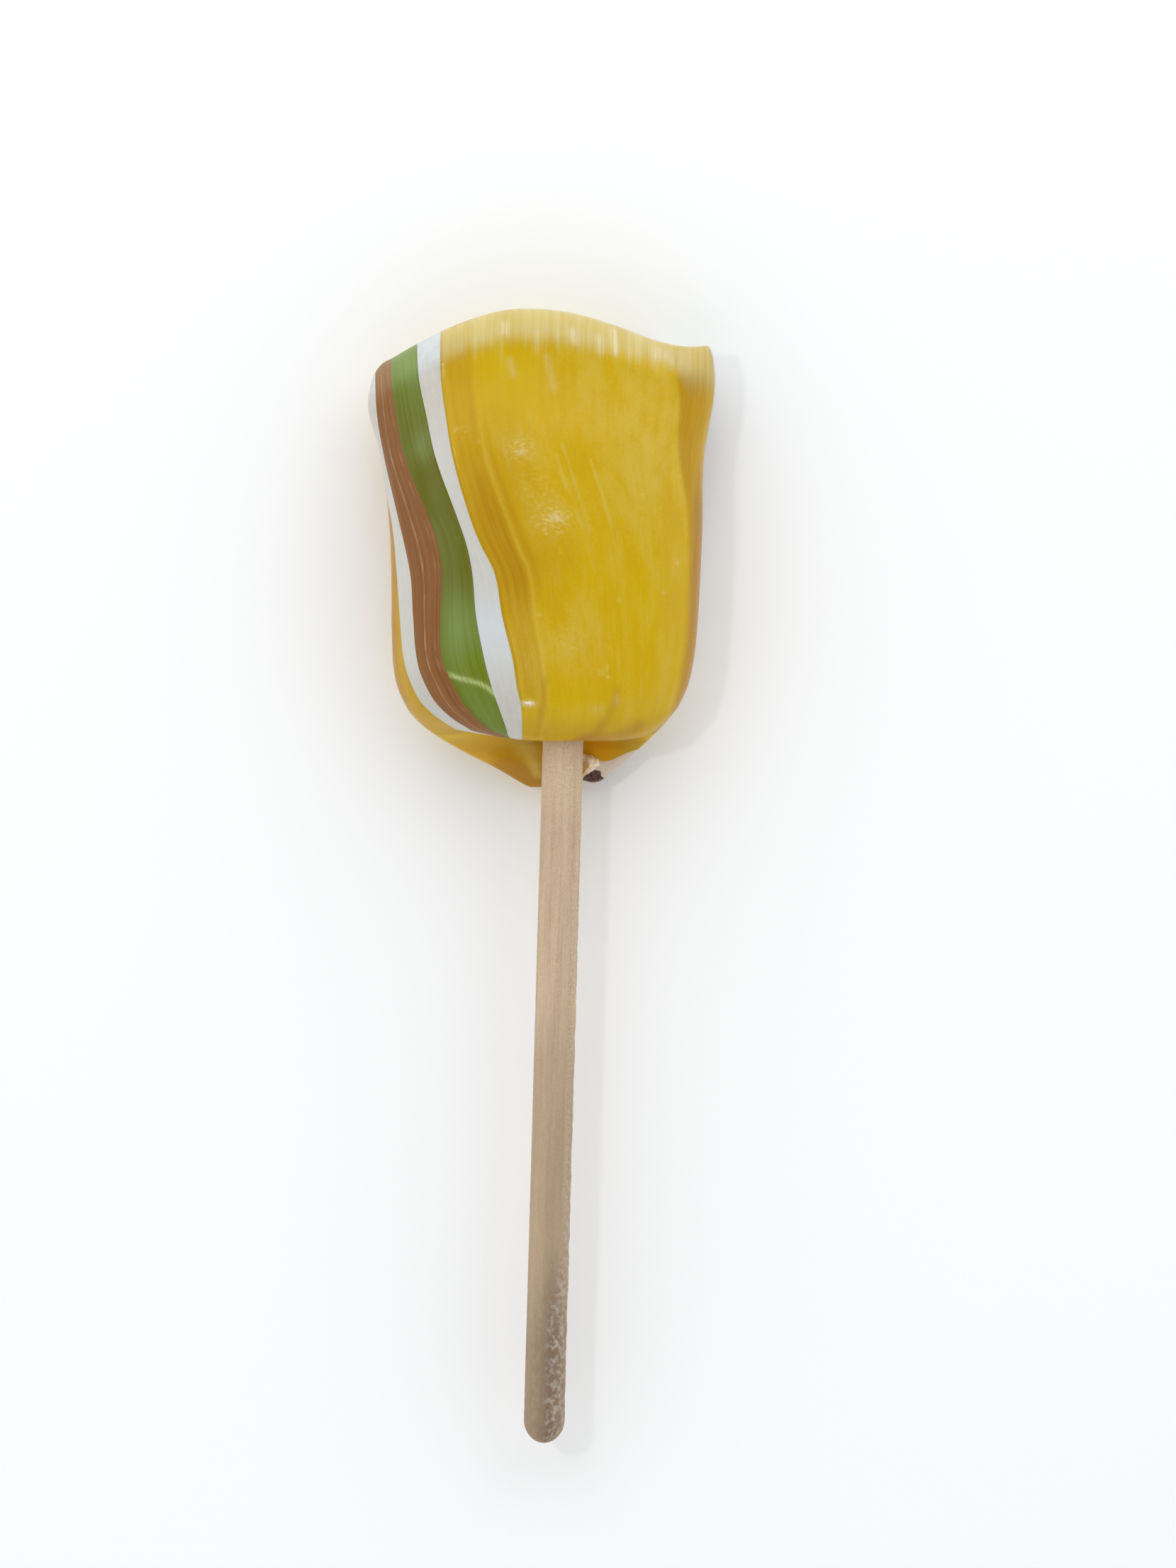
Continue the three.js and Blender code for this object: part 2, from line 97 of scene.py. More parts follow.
# Where the sides and the middles would go on to, above their last station, as Y
ABOVE_TOP = 61
# How soon the lower edge of the front falls away towards each side
SPREAD_LEFT = 1.5
SPREAD_RIGHT = 6.4
SPREAD_BACK = 3.0

# The wavy top edge, as X and Y
TOP_EDGE = [
    (-29, 49.9), (-24, 51.5), (-20.6, 53.4), (-14.8, 56.3), (-9, 58.2), (-4.7, 58.6),
    (1, 58.05), (6.8, 56.4), (12.5, 54.3), (16.5, 53.5), (20.7, 53.7), (25, 54.4),
]

# The edges between the stripes on the front, each as Y and X from the top down
STRIPE_EDGES = [
    [(58, -31), (50, -29), (44, -27.2), (39, -25.7), (34, -24.2), (30.3, -23.3), (24.6, -22.6),
     (16.9, -22.05), (11.1, -21.5), (7.3, -20.3), (4.4, -18.4), (1.5, -14.2), (0.7, -11.5), (0.3, -7.6)],
    [(58, -25.4), (49.5, -25.4), (43.8, -25.1), (38, -24.1), (30.3, -22.3), (22.6, -20.6), (16.9, -20.2),
     (11.1, -19.7), (7.3, -18.4), (4.4, -16.4), (1.5, -12.4), (0.8, -9.6), (0.4, -7.6)],
    [(58, -23.4), (49.5, -23.2), (43.8, -22.5), (38, -21.2), (30.3, -18.1), (26.5, -16.8), (22.6, -16.3),
     (16.9, -16.5), (11.1, -16.3), (7.3, -14.6), (4.4, -12.9), (1.5, -9.8), (0.8, -8), (0.4, -7.5)],
    [(58, -19.8), (49.5, -19.5), (43.8, -18.4), (38, -17.1), (30.3, -14.3), (26.5, -13), (22.6, -12.2),
     (16.9, -11.7), (11.1, -10.6), (7.3, -9.6), (4.4, -8.6), (1.5, -7.6), (0.4, -7.4)],
    [(58, -16.5), (49.5, -16.5), (43.8, -15.8), (38, -14.8), (30.3, -12.6), (26.5, -11.1), (22.6, -9.2),
     (16.9, -8.2), (11.1, -6.8), (7.3, -6.2), (4.4, -5.6), (1.5, -5.5)],
]
# Where they lie at the crease behind the stick, from the left turn at -1 to the middle at 0
CREASE_EDGES = np.array([-0.4, -0.36, -0.3, -0.25, -0.18])
# How far apart they stay at least, as an angle
EDGE_STEP = 0.03

# Columns of each band of a half ring: the strip outside the stripes, the stripes, the middle. The starts
# are the columns where the stripes begin, counted from the turn, with the end of the last one.
MARGIN_COLUMNS = 6
STRIPE_COLUMNS = (8, 9, 12, 9)
MIDDLE_COLUMNS = 120
STRIPE_STARTS = MARGIN_COLUMNS + np.cumsum((0,) + STRIPE_COLUMNS)
ROW_COUNT = 200

# The back's outer white comes round to the front at the raised right corner: how far and how widely the
# columns turn there, and how wide that white is, all as angles
CORNER_TURN = 0.17
CORNER_TURN_WIDTH = 0.6
CORNER_WHITE = 0.36

# How the lip's outline turns at its two ends, as the place that it would come from
LIP_TURN_LEFT = (-5.1, -3.7)
LIP_TURN_RIGHT = (4.4, -3.3)


def smooth(low, high, value):
    t = np.clip((value - low) / (high - low), 0, 1)
    return t * t * (3 - 2 * t)


def bump(value, centre, width):
    return np.exp(-(((value - centre) / width) ** 2))


def hermite(v1, v2, slope1, slope2, t):
    t2 = t * t
    t3 = t2 * t
    start = v1 * (2 * t3 - 3 * t2 + 1) + slope1 * (t3 - 2 * t2 + t)
    return start + v2 * (3 * t2 - 2 * t3) + slope2 * (t3 - t2)


def along(points, s, before=None, after=None):
    """A smooth curve through evenly spaced stations, one array for each value of the points."""
    inner = np.array(points, float).reshape(len(points), -1)
    first = inner[0] * 2 - inner[1] if before is None else before
    last = inner[-1] * 2 - inner[-2] if after is None else after
    p = np.vstack([first, inner, last])
    i = np.clip(np.floor(s).astype(int), 0, len(inner) - 2)
    t = s - i
    curves = []
    for v in p.T:
        slope1 = (v[i + 2] - v[i]) / 2
        slope2 = (v[i + 3] - v[i + 1]) / 2
        curves.append(hermite(v[i + 1], v[i + 2], slope1, slope2, t))
    return curves


def curve_at(points, at):
    """A smooth curve through points in the order of their first value, read at one such value."""
    xs, ys = np.array(sorted(points), float).T
    low = np.maximum(np.arange(len(xs)) - 1, 0)
    high = np.minimum(np.arange(len(xs)) + 1, len(xs) - 1)
    slopes = (ys[high] - ys[low]) / (xs[high] - xs[low])
    at = np.clip(at, xs[0], xs[-1])
    i = np.clip(np.searchsorted(xs, at, side="right") - 1, 0, len(xs) - 2)
    width = xs[i + 1] - xs[i]
    t = (at - xs[i]) / width
    return hermite(ys[i], ys[i + 1], slopes[i] * width, slopes[i + 1] * width, t)


def skin_points(angle, s):
    """Points of the skin: angle 0 is the right turn, 90 degrees the front, 180 the left turn."""
    angle, s = np.broadcast_arrays(np.asarray(angle, float), np.asarray(s, float))
    body = np.minimum(s, SHOULDER)
    turn = np.maximum(s - SHOULDER, 0) * (math.pi / 2)
    left_x, left_y = along(LEFT_SIDE, body, LIP_TURN_LEFT, (LEFT_SIDE[-2][0], ABOVE_TOP))
    right_x, right_y = along(RIGHT_SIDE, body, LIP_TURN_RIGHT, (RIGHT_SIDE[-2][0], ABOVE_TOP))
    front = along(FRONT, body, BACK[1], (ABOVE_TOP, FRONT[-2][1]))
    back = along(BACK, body, FRONT[1], (ABOVE_TOP, BACK[-2][1]))
    side_z = along(SIDE_HEIGHT, body)[0]
    fullness = along(FULLNESS, body)[0]
    left_x = left_x + CORNER_ROUND_LEFT * (1 - np.cos(turn))
    right_x = right_x - CORNER_ROUND_RIGHT * (1 - np.cos(turn))
    drop = TOP_ROUND * (1 - np.sin(turn))
    wave = np.clip((s - 8) / 2, 0, 1) ** 2

    across = np.cos(angle)
    is_front = np.sin(angle) >= 0
    x = (left_x + right_x) / 2 + across * (right_x - left_x) / 2
    middle_y, middle_z = np.where(is_front, front, back)
    side_spread = np.where(across < 0, SPREAD_LEFT, SPREAD_RIGHT)
    seen = np.where(is_front, smooth(0, 1, s), 0)
    spread = SPREAD_BACK + (side_spread - SPREAD_BACK) * seen
    side_y = left_y + (right_y - left_y) * (1 + across) / 2
    level = side_y + (middle_y - side_y) * (1 - np.abs(across) ** spread)
    lift = np.sqrt(np.maximum(1 - np.abs(across) ** fullness, 0))
    top = curve_at(TOP_EDGE, x)
    y = np.where(s > SHOULDER, top - drop, level + wave * (top - TOP_ROUND - LEFT_SIDE[-1][1]))
    z = side_z + (middle_z - side_z) * np.cos(turn) * lift
    return np.stack([x, y, np.maximum(z, 0)], axis=-1)


def crossing(edge, s):
    """The angle on each ring where the front view crosses one stripe edge."""
    low = np.full_like(s, math.pi / 2)
    high = np.full_like(s, math.pi)
    for _ in range(40):
        middle = (low + high) / 2
        p = skin_points(middle, s)
        outside = p[..., 0] > curve_at(edge, p[..., 1])
        low = np.where(outside, middle, low)
        high = np.where(outside, high, middle)
    return (low + high) / 2


def seen_edges(s):
    """The angles of the five stripe edges on each ring, kept in order near the left turn."""
    angles = []
    limit = np.full_like(s, math.pi)
    for edge in STRIPE_EDGES:
        limit = np.minimum(crossing(edge, s), limit - EDGE_STEP)
        angles.append(limit)
    return np.array(angles)


def plain_edges(s):
    return seen_edges(np.maximum(s, BEND))


def front_edges(s):
    lobe = seen_edges(np.array([float(LOBE)]))
    bend = seen_edges(np.array([float(BEND)]))
    crease = np.arccos(CREASE_EDGES)[:, None]
    hidden = crease + (lobe - crease) * smooth(CREASE + 0.8, LOBE, s)
    low = bend + (hidden - bend) * smooth(0.3, CREASE - 0.2, s)
    return np.where(s >= LOBE, seen_edges(np.maximum(s, LOBE)), low)


def right_edges(s):
    """The stripe edges at the right turn, where the outer white is wider at the raised corner."""
    edges = plain_edges(s)
    steps = CORNER_WHITE * smooth(9.0, 9.8, s) + EDGE_STEP * np.arange(4)[:, None]
    return np.vstack([edges[:1], np.minimum(edges[1:], edges[:1] - steps)])


def half_columns(right, left):
    """Angles of one half ring's columns, a row of them for each ring."""
    turn = np.zeros((1, right.shape[1]))
    stops = np.vstack([turn, math.pi - right, left[::-1], turn + math.pi])
    bands = (MARGIN_COLUMNS,) + STRIPE_COLUMNS
    counts = bands + (MIDDLE_COLUMNS,) + bands[::-1]
    columns = [stops[0]]
    for band, count in enumerate(counts):
        for k in range(1, count + 1):
            columns.append(stops[band] + (stops[band + 1] - stops[band]) * k / count)
    return np.array(columns).T


def ring_columns(s):
    right = right_edges(s)
    front = half_columns(right, front_edges(s))
    back = 2 * math.pi - half_columns(right, plain_edges(s))[:, ::-1]
    ring = np.hstack([front, back[:, 1:-1]])
    from_turn = np.where(ring > math.pi, ring - 2 * math.pi, ring)
    turned = CORNER_TURN * smooth(9.2, 9.95, s) * smooth(11, 10.75, s)
    return ring + turned[:, None] * bump(from_turn, 0, CORNER_TURN_WIDTH)


def even_rows(count):
    """Stations that lie about evenly spaced on the skin."""
    fine = np.linspace(0, CREST, 2000)
    lines = [skin_points(turn * math.pi, fine) for turn in (0.5, 0.8, 0.2, 1.5)]
    lengths = [np.linalg.norm(np.diff(line, axis=0), axis=1) for line in lines]
    steps = np.concatenate([[0], np.cumsum(np.mean(lengths, axis=0))])
    return np.interp(np.linspace(0, steps[-1], count), steps, fine)


# The lip: where its white and its brown end, as angle on the front and station
LIP_BROWN = [
    (-0.6, 0.55), (-0.1, 0.3), (0.42, 0.1), (0.62, 0.42), (0.79, 0.6), (0.87, 0.8), (1.4, 0.8), (2.3, 0.55),
]
LIP_WHITE = [(-0.6, 2.0), (0, 1.93), (0.35, 1.5), (0.8, 1.15), (1.4, 1.35), (2.3, 2.0)]
LIP_TOP = 3.5
FIRST_STATION = 0.04
# How far the lip's edge is drawn back beside the stick, where, and how widely
LIP_NOTCH = 1.05
LIP_NOTCH_X = 2.2
LIP_NOTCH_WIDTH = 1.7
BROWN_STATION = 0.55
WHITE_STATION = 2.0


def warped(angle, s):
    """Stations moved so that the lip's white and brown end where the photo shows them."""
    turn = np.where(angle > math.pi, angle - 2 * math.pi, angle)
    turn = np.clip(turn, LIP_WHITE[0][0], LIP_WHITE[-1][0])
    brown = curve_at(LIP_BROWN, turn)
    white = curve_at(LIP_WHITE, turn)
    stops = [(0, 0), (BROWN_STATION, brown), (WHITE_STATION, white), (LIP_TOP, LIP_TOP)]
    moved = s
    for (low, to_low), (high, to_high) in zip(stops, stops[1:]):
        inside = (s >= low) & (s < high)
        moved = np.where(inside, to_low + (s - low) / (high - low) * (to_high - to_low), moved)
    return moved


# The grid of the skin: a row for each station, a column for each place round the ring
stations = even_rows(ROW_COUNT)
stations[1] = FIRST_STATION
for special in (BROWN_STATION, WHITE_STATION, CREASE + 0.3):
    stations[np.argmin(np.abs(stations - special))] = special
angles = ring_columns(stations)
ROWS, COLUMNS = angles.shape
HALF = COLUMNS // 2
grid_s = warped(angles, np.repeat(stations[:, None], COLUMNS, axis=1))
grid = skin_points(angles, grid_s)
grid[..., 1] += LIP_NOTCH * smooth(1.4, 0, grid_s) * bump(grid[..., 0], LIP_NOTCH_X, LIP_NOTCH_WIDTH)


def grid_normals(points):
    """Outward normals of the skin's grid."""
    round_step = np.roll(points, -1, axis=1) - np.roll(points, 1, axis=1)
    up_step = np.gradient(points, axis=0)
    normals = np.cross(up_step, round_step)
    size = np.linalg.norm(normals, axis=-1, keepdims=True)
    return normals / np.maximum(size, 1e-9)


normals = grid_normals(grid)
X, Y, Z = grid[..., 0], grid[..., 1], grid[..., 2]
is_front = np.sin(angles) >= -1e-9
across = np.cos(angles)


def turns_at(s):
    """X of the left and of the right turn."""
    sides = []
    for points in (LEFT_SIDE, RIGHT_SIDE):
        sides.append(along(points, np.minimum(s, SHOULDER), None, (points[-2][0], ABOVE_TOP))[0])
    return sides


# The streaks' own measure: its span across the face, and how far they bow sideways in it
STREAK_SPAN = 30
STREAK_BOW = 2.2


def streak_lines():
    """How far across the streaks each point lies, from 0 at the inner white stripe."""
    left, right = turns_at(np.maximum(grid_s, BEND))
    x = np.where(is_front, X, left + right - X)
    edge = curve_at(STRIPE_EDGES[-1], np.clip(Y, 4.4, 58))
    place = (x - edge) / (right - edge)
    return STREAK_SPAN * place + STREAK_BOW * bump(place, 0.42, 0.25) * np.tanh((Y - 35) / 6)


streak = streak_lines()

PIXELS_PER_MM = 10.42
STICK_ENTRY_PIXEL = (794.3, 1046.0)


def from_pixel(x, y):
    """A pixel of the photograph, as X and Y on the candy."""
    return (x - STICK_ENTRY_PIXEL[0]) / PIXELS_PER_MM, (STICK_ENTRY_PIXEL[1] - y) / PIXELS_PER_MM


# X on the front. The back has the front's features turned half a turn round the stick.
PX = np.where(is_front, X, sum(turns_at(grid_s)) - X)


def spot(x, y, width, height):
    """A soft round spot at a pixel of the photograph. Its half width and half height are in millimetres."""
    at_x, at_y = from_pixel(x, y)
    return np.exp(-(((PX - at_x) / width) ** 2) - ((Y - at_y) / height) ** 2)


def patches(rows):
    """Soft spots added up. Each row is a pixel, the half width and half height, and the strength."""
    return sum(strength * spot(*place) for *place, strength in rows)


def near_line(pixels, width):
    """A soft band about as wide as width, in millimetres, along a line of photograph pixels."""
    nearest = np.full(X.shape, 1e9)
    points = [from_pixel(*pixel) for pixel in pixels]
    for (ax, ay), (bx, by) in zip(points, points[1:]):
        dx, dy = bx - ax, by - ay
        t = np.clip(((PX - ax) * dx + (Y - ay) * dy) / (dx * dx + dy * dy), 0, 1)
        nearest = np.minimum(nearest, (PX - ax - t * dx) ** 2 + (Y - ay - t * dy) ** 2)
    return np.exp(-nearest / (width / 2) ** 2)


# The fold at the right: how deep it is, how wide across the ring, and how far out it lies at each station
FOLD_DEPTH = 0.75
FOLD_WIDTH = 0.085
FOLD_PLACE = [(6.0, 0.95), (7.0, 0.93), (8.3, 0.9), (9.0, 0.853), (9.8, 0.8), (10.5, 0.75)]
# The crest of the bend above the lobe: how high and wide it is, and its line as X and Y
BEND_HEIGHT = 0.08
BEND_WIDTH = 0.9
BEND_CREST = [(-17, 9.6), (-14.8, 8.7), (-9.5, 6.3), (-4, 5.1), (0, 4.9), (7.3, 5.6), (12, 6.2)]
CURVED_CREASE = [(871, 975), (868, 990), (857, 1013), (840, 1035), (813, 1045)]
LOWER_VALLEY = [(768, 960), (767, 990), (763, 1015), (758, 1040)]
# The face's creases, each with its width and height in millimetres
CREASES = [(CURVED_CREASE, 1.2, -0.09), (LOWER_VALLEY, 1.4, -0.08)]
# The lip's fold beside the stick: raised, and painted paler and less amber along it, as painted light on
# the lip's shaded side
LIP_FOLD = [(742, 1045), (750, 1070), (758, 1092)]
LIP_FOLD_HEIGHT = 0.12
LIP_FOLD_WIDTH = 2.4
# A painted highlight: a bright arc across the green at its bend
GREEN_PAINTED_GLINT = [(636, 953), (650, 958), (664, 961), (680, 966), (690, 972), (698, 980)]
LOBE_RIM = [(826, 1043), (860, 1041), (885, 1035), (903, 1023)]
# Streaks that are raised or sunk beside the stripes, each as its place across the streaks, width and height
STREAK_FORMS = [
    (0.25, 0.35, -0.02), (1.4, 0.35, -0.006), (2.5, 0.4, -0.006), (4.3, 0.4, 0.03), (5.3, 0.7, -0.045),
]
# A broad swell along the face: its place across the streaks, width and height
SWELL_PLACE = 12.2
SWELL_WIDTH = 2.6
SWELL_HEIGHT = 0.3
# Shallow hollows round the two pebbly patches
HOLLOWS = [(730, 630, 2.2, 1.8, -0.12), (775, 730, 2.6, 2.2, -0.12)]
# Small bubbles in the skin, with their sizes in millimetres, and how high one is for its size
BUBBLE_RISE = 0.2
BUBBLES = [
    (645, 608, 0.4), (955, 795, 0.35), (935, 837, 0.3), (873, 848, 0.3), (847, 950, 0.4),
    (857, 944, 0.35), (858, 955, 0.3), (676, 626, 0.25), (790, 782, 0.25), (905, 700, 0.25),
    (762, 868, 0.25), (700, 900, 0.25),
]

side = np.where(is_front, across, -across)
fold_place = np.interp(grid_s, *zip(*FOLD_PLACE))
on_front = is_front & (grid_s > LOBE - 0.6)
near_stripe = smooth(3, 7, Y) * smooth(57, 52, Y) * (grid_s > LOBE)


# Lengthwise ribs, each with its width and height in millimetres and its phase, and how far they sway
RIBS = ((7.3, 0.05, 0.4), (4.1, 0.03, 2.1), (2.3, 0.016, 4.0), (1.3, 0.009, 1.3))
RIB_SWAY = 0.9
SWAY_LENGTH = 13


def rib(width, size, phase):
    place = streak + RIB_SWAY * np.sin(Y / SWAY_LENGTH + phase * 3)
    return size * np.sin(2 * math.pi * place / width + phase)


def relief():
    """Heights of the skin's own forms, in millimetres along the normal."""
    below_crest = np.clip(CREST - grid_s, 0, 1)
    lines = sum(height * bump(streak, place, width) for place, width, height in STREAK_FORMS)
    crest = bump(Y, curve_at(BEND_CREST, PX), BEND_WIDTH) * smooth(0.95, 0.8, np.abs(across))
    smoother_band = 1 - 0.7 * smooth(5, 4, streak) * near_stripe
    forms = [
        -FOLD_DEPTH * bump(side, fold_place, FOLD_WIDTH) * smooth(31, 44, Y) * below_crest,
        lines * near_stripe,
        BEND_HEIGHT * crest * on_front,
        *(height * near_line(pixels, width) * on_front for pixels, width, height in CREASES),
        sum(rib(*row) for row in RIBS) * smooth(LOBE - 1, BEND + 1, grid_s) * smoother_band,
        SWELL_HEIGHT * bump(streak, SWELL_PLACE, SWELL_WIDTH) * smooth(5, 12, Y) * smooth(50, 42, Y),
        patches(HOLLOWS),
        patches((x, y, size, size, BUBBLE_RISE * size) for x, y, size in BUBBLES) * is_front,
        LIP_FOLD_HEIGHT * near_line(LIP_FOLD, LIP_FOLD_WIDTH) * (is_front & (grid_s < CREASE + 1)),
    ]
    ends = smooth(0, 0.6, grid_s) * smooth(CREST, CREST - 0.5, grid_s)
    return sum(forms) * ends * smooth(0, 1.5, Z)


grid = grid + normals * relief()[..., None]
grid[..., 2] = np.maximum(grid[..., 2], 0)
normals = grid_normals(grid)
X, Y, Z = grid[..., 0], grid[..., 1], grid[..., 2]

depth = THIN_STRIPE_DEPTH + (STRIPE_DEPTH - THIN_STRIPE_DEPTH) * np.minimum(
    smooth(0, 3, grid_s), smooth(CREST, 9, grid_s)
)
inner_grid = grid - normals * depth[..., None]

NAMES = ("outer_white", "brown", "green", "inner_white")
OWNERS = ["candy"] + [f"{half}_{name}" for half in ("front", "back") for name in NAMES]
CANDY = 0
FRONT_STRIPES = OWNERS.index("front_outer_white")
BACK_STRIPES = OWNERS.index("back_outer_white")
# How much of the front, from its right turn on, shows the lip's white and brown
LIP_REACH = 0.46
TINY = 1e-6


def cell_owners():
    """The piece that each cell of the grid belongs to, as its place in OWNERS."""
    owners = np.zeros((ROWS - 1, COLUMNS), int)
    column = np.arange(COLUMNS)
    front = column < HALF
    from_left = np.where(front, HALF - 1 - column, column - HALF)
    from_turn = np.where(front, from_left, HALF - 1 - from_left)
    stripe = np.searchsorted(STRIPE_STARTS, from_turn, side="right") - 1
    in_stripe = (stripe >= 0) & (stripe < len(STRIPE_COLUMNS))
    row = stations[:-1, None] + TINY
    owners = np.where((row >= CREASE + 0.3) & front & in_stripe, FRONT_STRIPES + stripe, owners)
    owners = np.where(~front & in_stripe, BACK_STRIPES + stripe, owners)
    beyond_white = (front & (column < int(HALF * LIP_REACH))) | (~front & (from_turn < MARGIN_COLUMNS))
    beyond_brown = beyond_white | (~front & (stripe == 0))
    white_rows = (row >= BROWN_STATION) & (row < WHITE_STATION)
    owners = np.where(white_rows & beyond_white, BACK_STRIPES, owners)
    owners = np.where((row < BROWN_STATION) & beyond_brown, BACK_STRIPES + 1, owners)
    owners[[0, -1]] = CANDY
    return owners


owners = cell_owners()


def vertex_numbers():
    """A number for each grid point. In the first and last row the front and the back share theirs."""
    numbers = np.arange(ROWS * COLUMNS).reshape(ROWS, COLUMNS)
    twin = (COLUMNS - np.arange(COLUMNS)) % COLUMNS
    for row in (0, ROWS - 1):
        numbers[row] = np.minimum(numbers[row], numbers[row][twin])
    return numbers


outer_numbers = vertex_numbers()
inner_numbers = outer_numbers + ROWS * COLUMNS


def corner(numbers, rows, columns, di, dj):
    return numbers[rows + dj, (columns + di) % COLUMNS]


def quads(numbers, rows, columns):
    steps = ((0, 0), (0, 1), (1, 1), (1, 0))
    return np.stack([corner(numbers, rows, columns, di, dj) for di, dj in steps], axis=1)


def walls(inside):
    """Quads from the skin down to the floor of the stripes, all round the cells that are inside."""
    parts = []
    corners = ((0, 0), (1, 0), (1, 1), (0, 1))
    neighbours = ((0, -1), (1, 0), (0, 1), (-1, 0))
    padded = np.pad(inside, ((1, 1), (0, 0)), constant_values=False)
    for side, (di, dj) in enumerate(neighbours):
        beside = np.roll(padded, (-dj, -di), axis=(0, 1))[1:-1]
        rows, columns = np.nonzero(inside & ~beside)
        ends = (corners[side], corners[(side + 1) % 4])
        outer = [corner(outer_numbers, rows, columns, *end) for end in ends]
        inner = [corner(inner_numbers, rows, columns, *end) for end in ends[::-1]]
        parts.append(np.stack(outer + inner, axis=1))
    return np.vstack(parts)


def in_scene(name, data):
    thing = bpy.data.objects.new(name, data)
    bpy.context.scene.collection.objects.link(thing)
    return thing


def mesh_object(name, points, faces, vectors, triangles=np.zeros((0, 3), int)):
    """A smooth mesh from points in millimetres, with its named vectors kept at the points."""
    used, compact = np.unique(np.concatenate([faces.ravel(), triangles.ravel()]), return_inverse=True)
    polygons = compact[:faces.size].reshape(-1, 4).tolist() + compact[faces.size:].reshape(-1, 3).tolist()
    mesh = bpy.data.meshes.new(name)
    mesh.from_pydata(((points[used] + SHIFT) * MM).tolist(), [], polygons)
    for key, values in vectors.items():
        attribute = mesh.attributes.new(key, "FLOAT_VECTOR", "POINT")
        attribute.data.foreach_set("vector", values[used].astype(np.float32).ravel())
    mesh.polygons.foreach_set("use_smooth", [True] * len(mesh.polygons))
    mesh.set_sharp_from_angle(angle=math.radians(50))
    return in_scene(name, mesh)


def find_shift():
    """From the candy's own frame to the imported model's, found by the stick's upper end."""
    top_x = STICK_INSIDE * math.sin(STICK_LEAN) + STICK_RADIUS * math.cos(STICK_LEAN)
    top_y = STICK_INSIDE * math.cos(STICK_LEAN) + STICK_RADIUS * math.sin(STICK_LEAN)
    low, high = np.array(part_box("stick")) / MM
    return np.array([high[0] - top_x, high[1] - top_y, low[2] - (STICK_HEIGHT - STICK_RADIUS)])


SHIFT = find_shift()


# Materials. The colours of the sugar and the wood are as the screen shows them, in 0 to 255.

def srgb(*colour):
    """A colour of the screen, as Blender's own scale has it."""
    shares = [value / 255 for value in colour]
    return (*(v / 12.92 if v <= 0.04045 else ((v + 0.055) / 1.055) ** 2.4 for v in shares), 1.0)


class Nodes:
    """Short names for building the nodes of a material, or of the world."""

    def __init__(self, owner):
        owner.use_nodes = True
        self.owner = owner
        self.tree = owner.node_tree

    def feed(self, socket, value):
        if isinstance(value, bpy.types.NodeSocket):
            self.tree.links.new(value, socket)
        else:
            socket.default_value = value

    def made(self, kind, inputs=(), **settings):
        """The outputs of a new shader node. Its inputs are given in order, or by name or number."""
        node = self.tree.nodes.new("ShaderNode" + kind)
        for key, value in settings.items():
            setattr(node, key, value)
        for socket, value in inputs.items() if isinstance(inputs, dict) else enumerate(inputs):
            self.feed(node.inputs[socket], value)
        return node.outputs

    def attribute(self, name):
        return self.made("Attribute", attribute_name=name)["Vector"]

    def channels(self, name):
        return self.made("SeparateXYZ", [self.attribute(name)])

    def noise(self, vector, scale, detail, roughness):
        inputs = dict(Vector=vector, Scale=scale, Detail=detail, Roughness=roughness)
        return self.made("TexNoise", inputs)["Fac"]

    def grain(self, across, lengthwise, detail=3, roughness=0.5):
        """Noise along the streaks, with its cells per millimetre across and along them."""
        inputs = (self.attribute("grain"), (across, lengthwise, 1))
        place = self.made("VectorMath", inputs, operation="MULTIPLY")[0]
        return self.noise(place, 1.0, detail, roughness)

    def maths(self, operation, *values, clamp=False):
        return self.made("Math", values, operation=operation, use_clamp=clamp)[0]

    def times(self, a, b, clamp=False):
        return self.maths("MULTIPLY", a, b, clamp=clamp)

    def plus(self, a, b=0.0):
        """The sum, kept between 0 and 1."""
        return self.maths("ADD", a, b, clamp=True)

    def weighed(self, start, *pairs):
        """start, plus each value times its weight."""
        total = start
        for value, weight in pairs:
            total = self.maths("MULTIPLY_ADD", value, weight, total)
        return total

    def between(self, value, low, high, to_low=0.0, to_high=1.0):
        return self.made("MapRange", (value, low, high, to_low, to_high), clamp=True)[0]

    def line(self, value, centre, width):
        """1 where value is at the centre, fading to 0 at width from it."""
        away = self.maths("ABSOLUTE", self.maths("SUBTRACT", value, centre))
        return self.between(away, 0.0, width, 1.0, 0.0)

    def painted(self, colour, *coats):
        """The colour under coats of other colours, each as how much of it there is and which it is."""
        for amount, coat in coats:
            a, b = (srgb(*paint) if isinstance(paint, tuple) else paint for paint in (colour, coat))
            colour = self.made("Mix", {0: amount, 6: a, 7: b}, data_type="RGBA")[2]
        return colour

    def bumped(self, height, strength, distance):
        inputs = dict(Height=height, Strength=strength, Distance=distance)
        return self.made("Bump", inputs)["Normal"]

    def set(self, **values):
        shader = self.tree.nodes["Principled BSDF"]
        for key, value in values.items():
            self.feed(shader.inputs[key.replace("_", " ")], value)


# How deep the finest relief is, in metres
FINE_RELIEF = 0.00008
COARSE_RELIEF = 0.0001


def new_look(name):
    return Nodes(bpy.data.materials.new(name))


def finish_sugar(n, colour, roughness, normal, subsurface, coat_roughness):
    """The gloss that all the sugar has."""
    n.set(Base_Color=colour, Roughness=roughness, Normal=normal, Specular_IOR_Level=0.08)
    n.set(Coat_Weight=0.24, Coat_Roughness=coat_roughness, Coat_Normal=normal)
    n.set(Subsurface_Weight=subsurface, Subsurface_Radius=(1.0, 0.6, 0.15), Subsurface_Scale=0.002)
    return n.owner


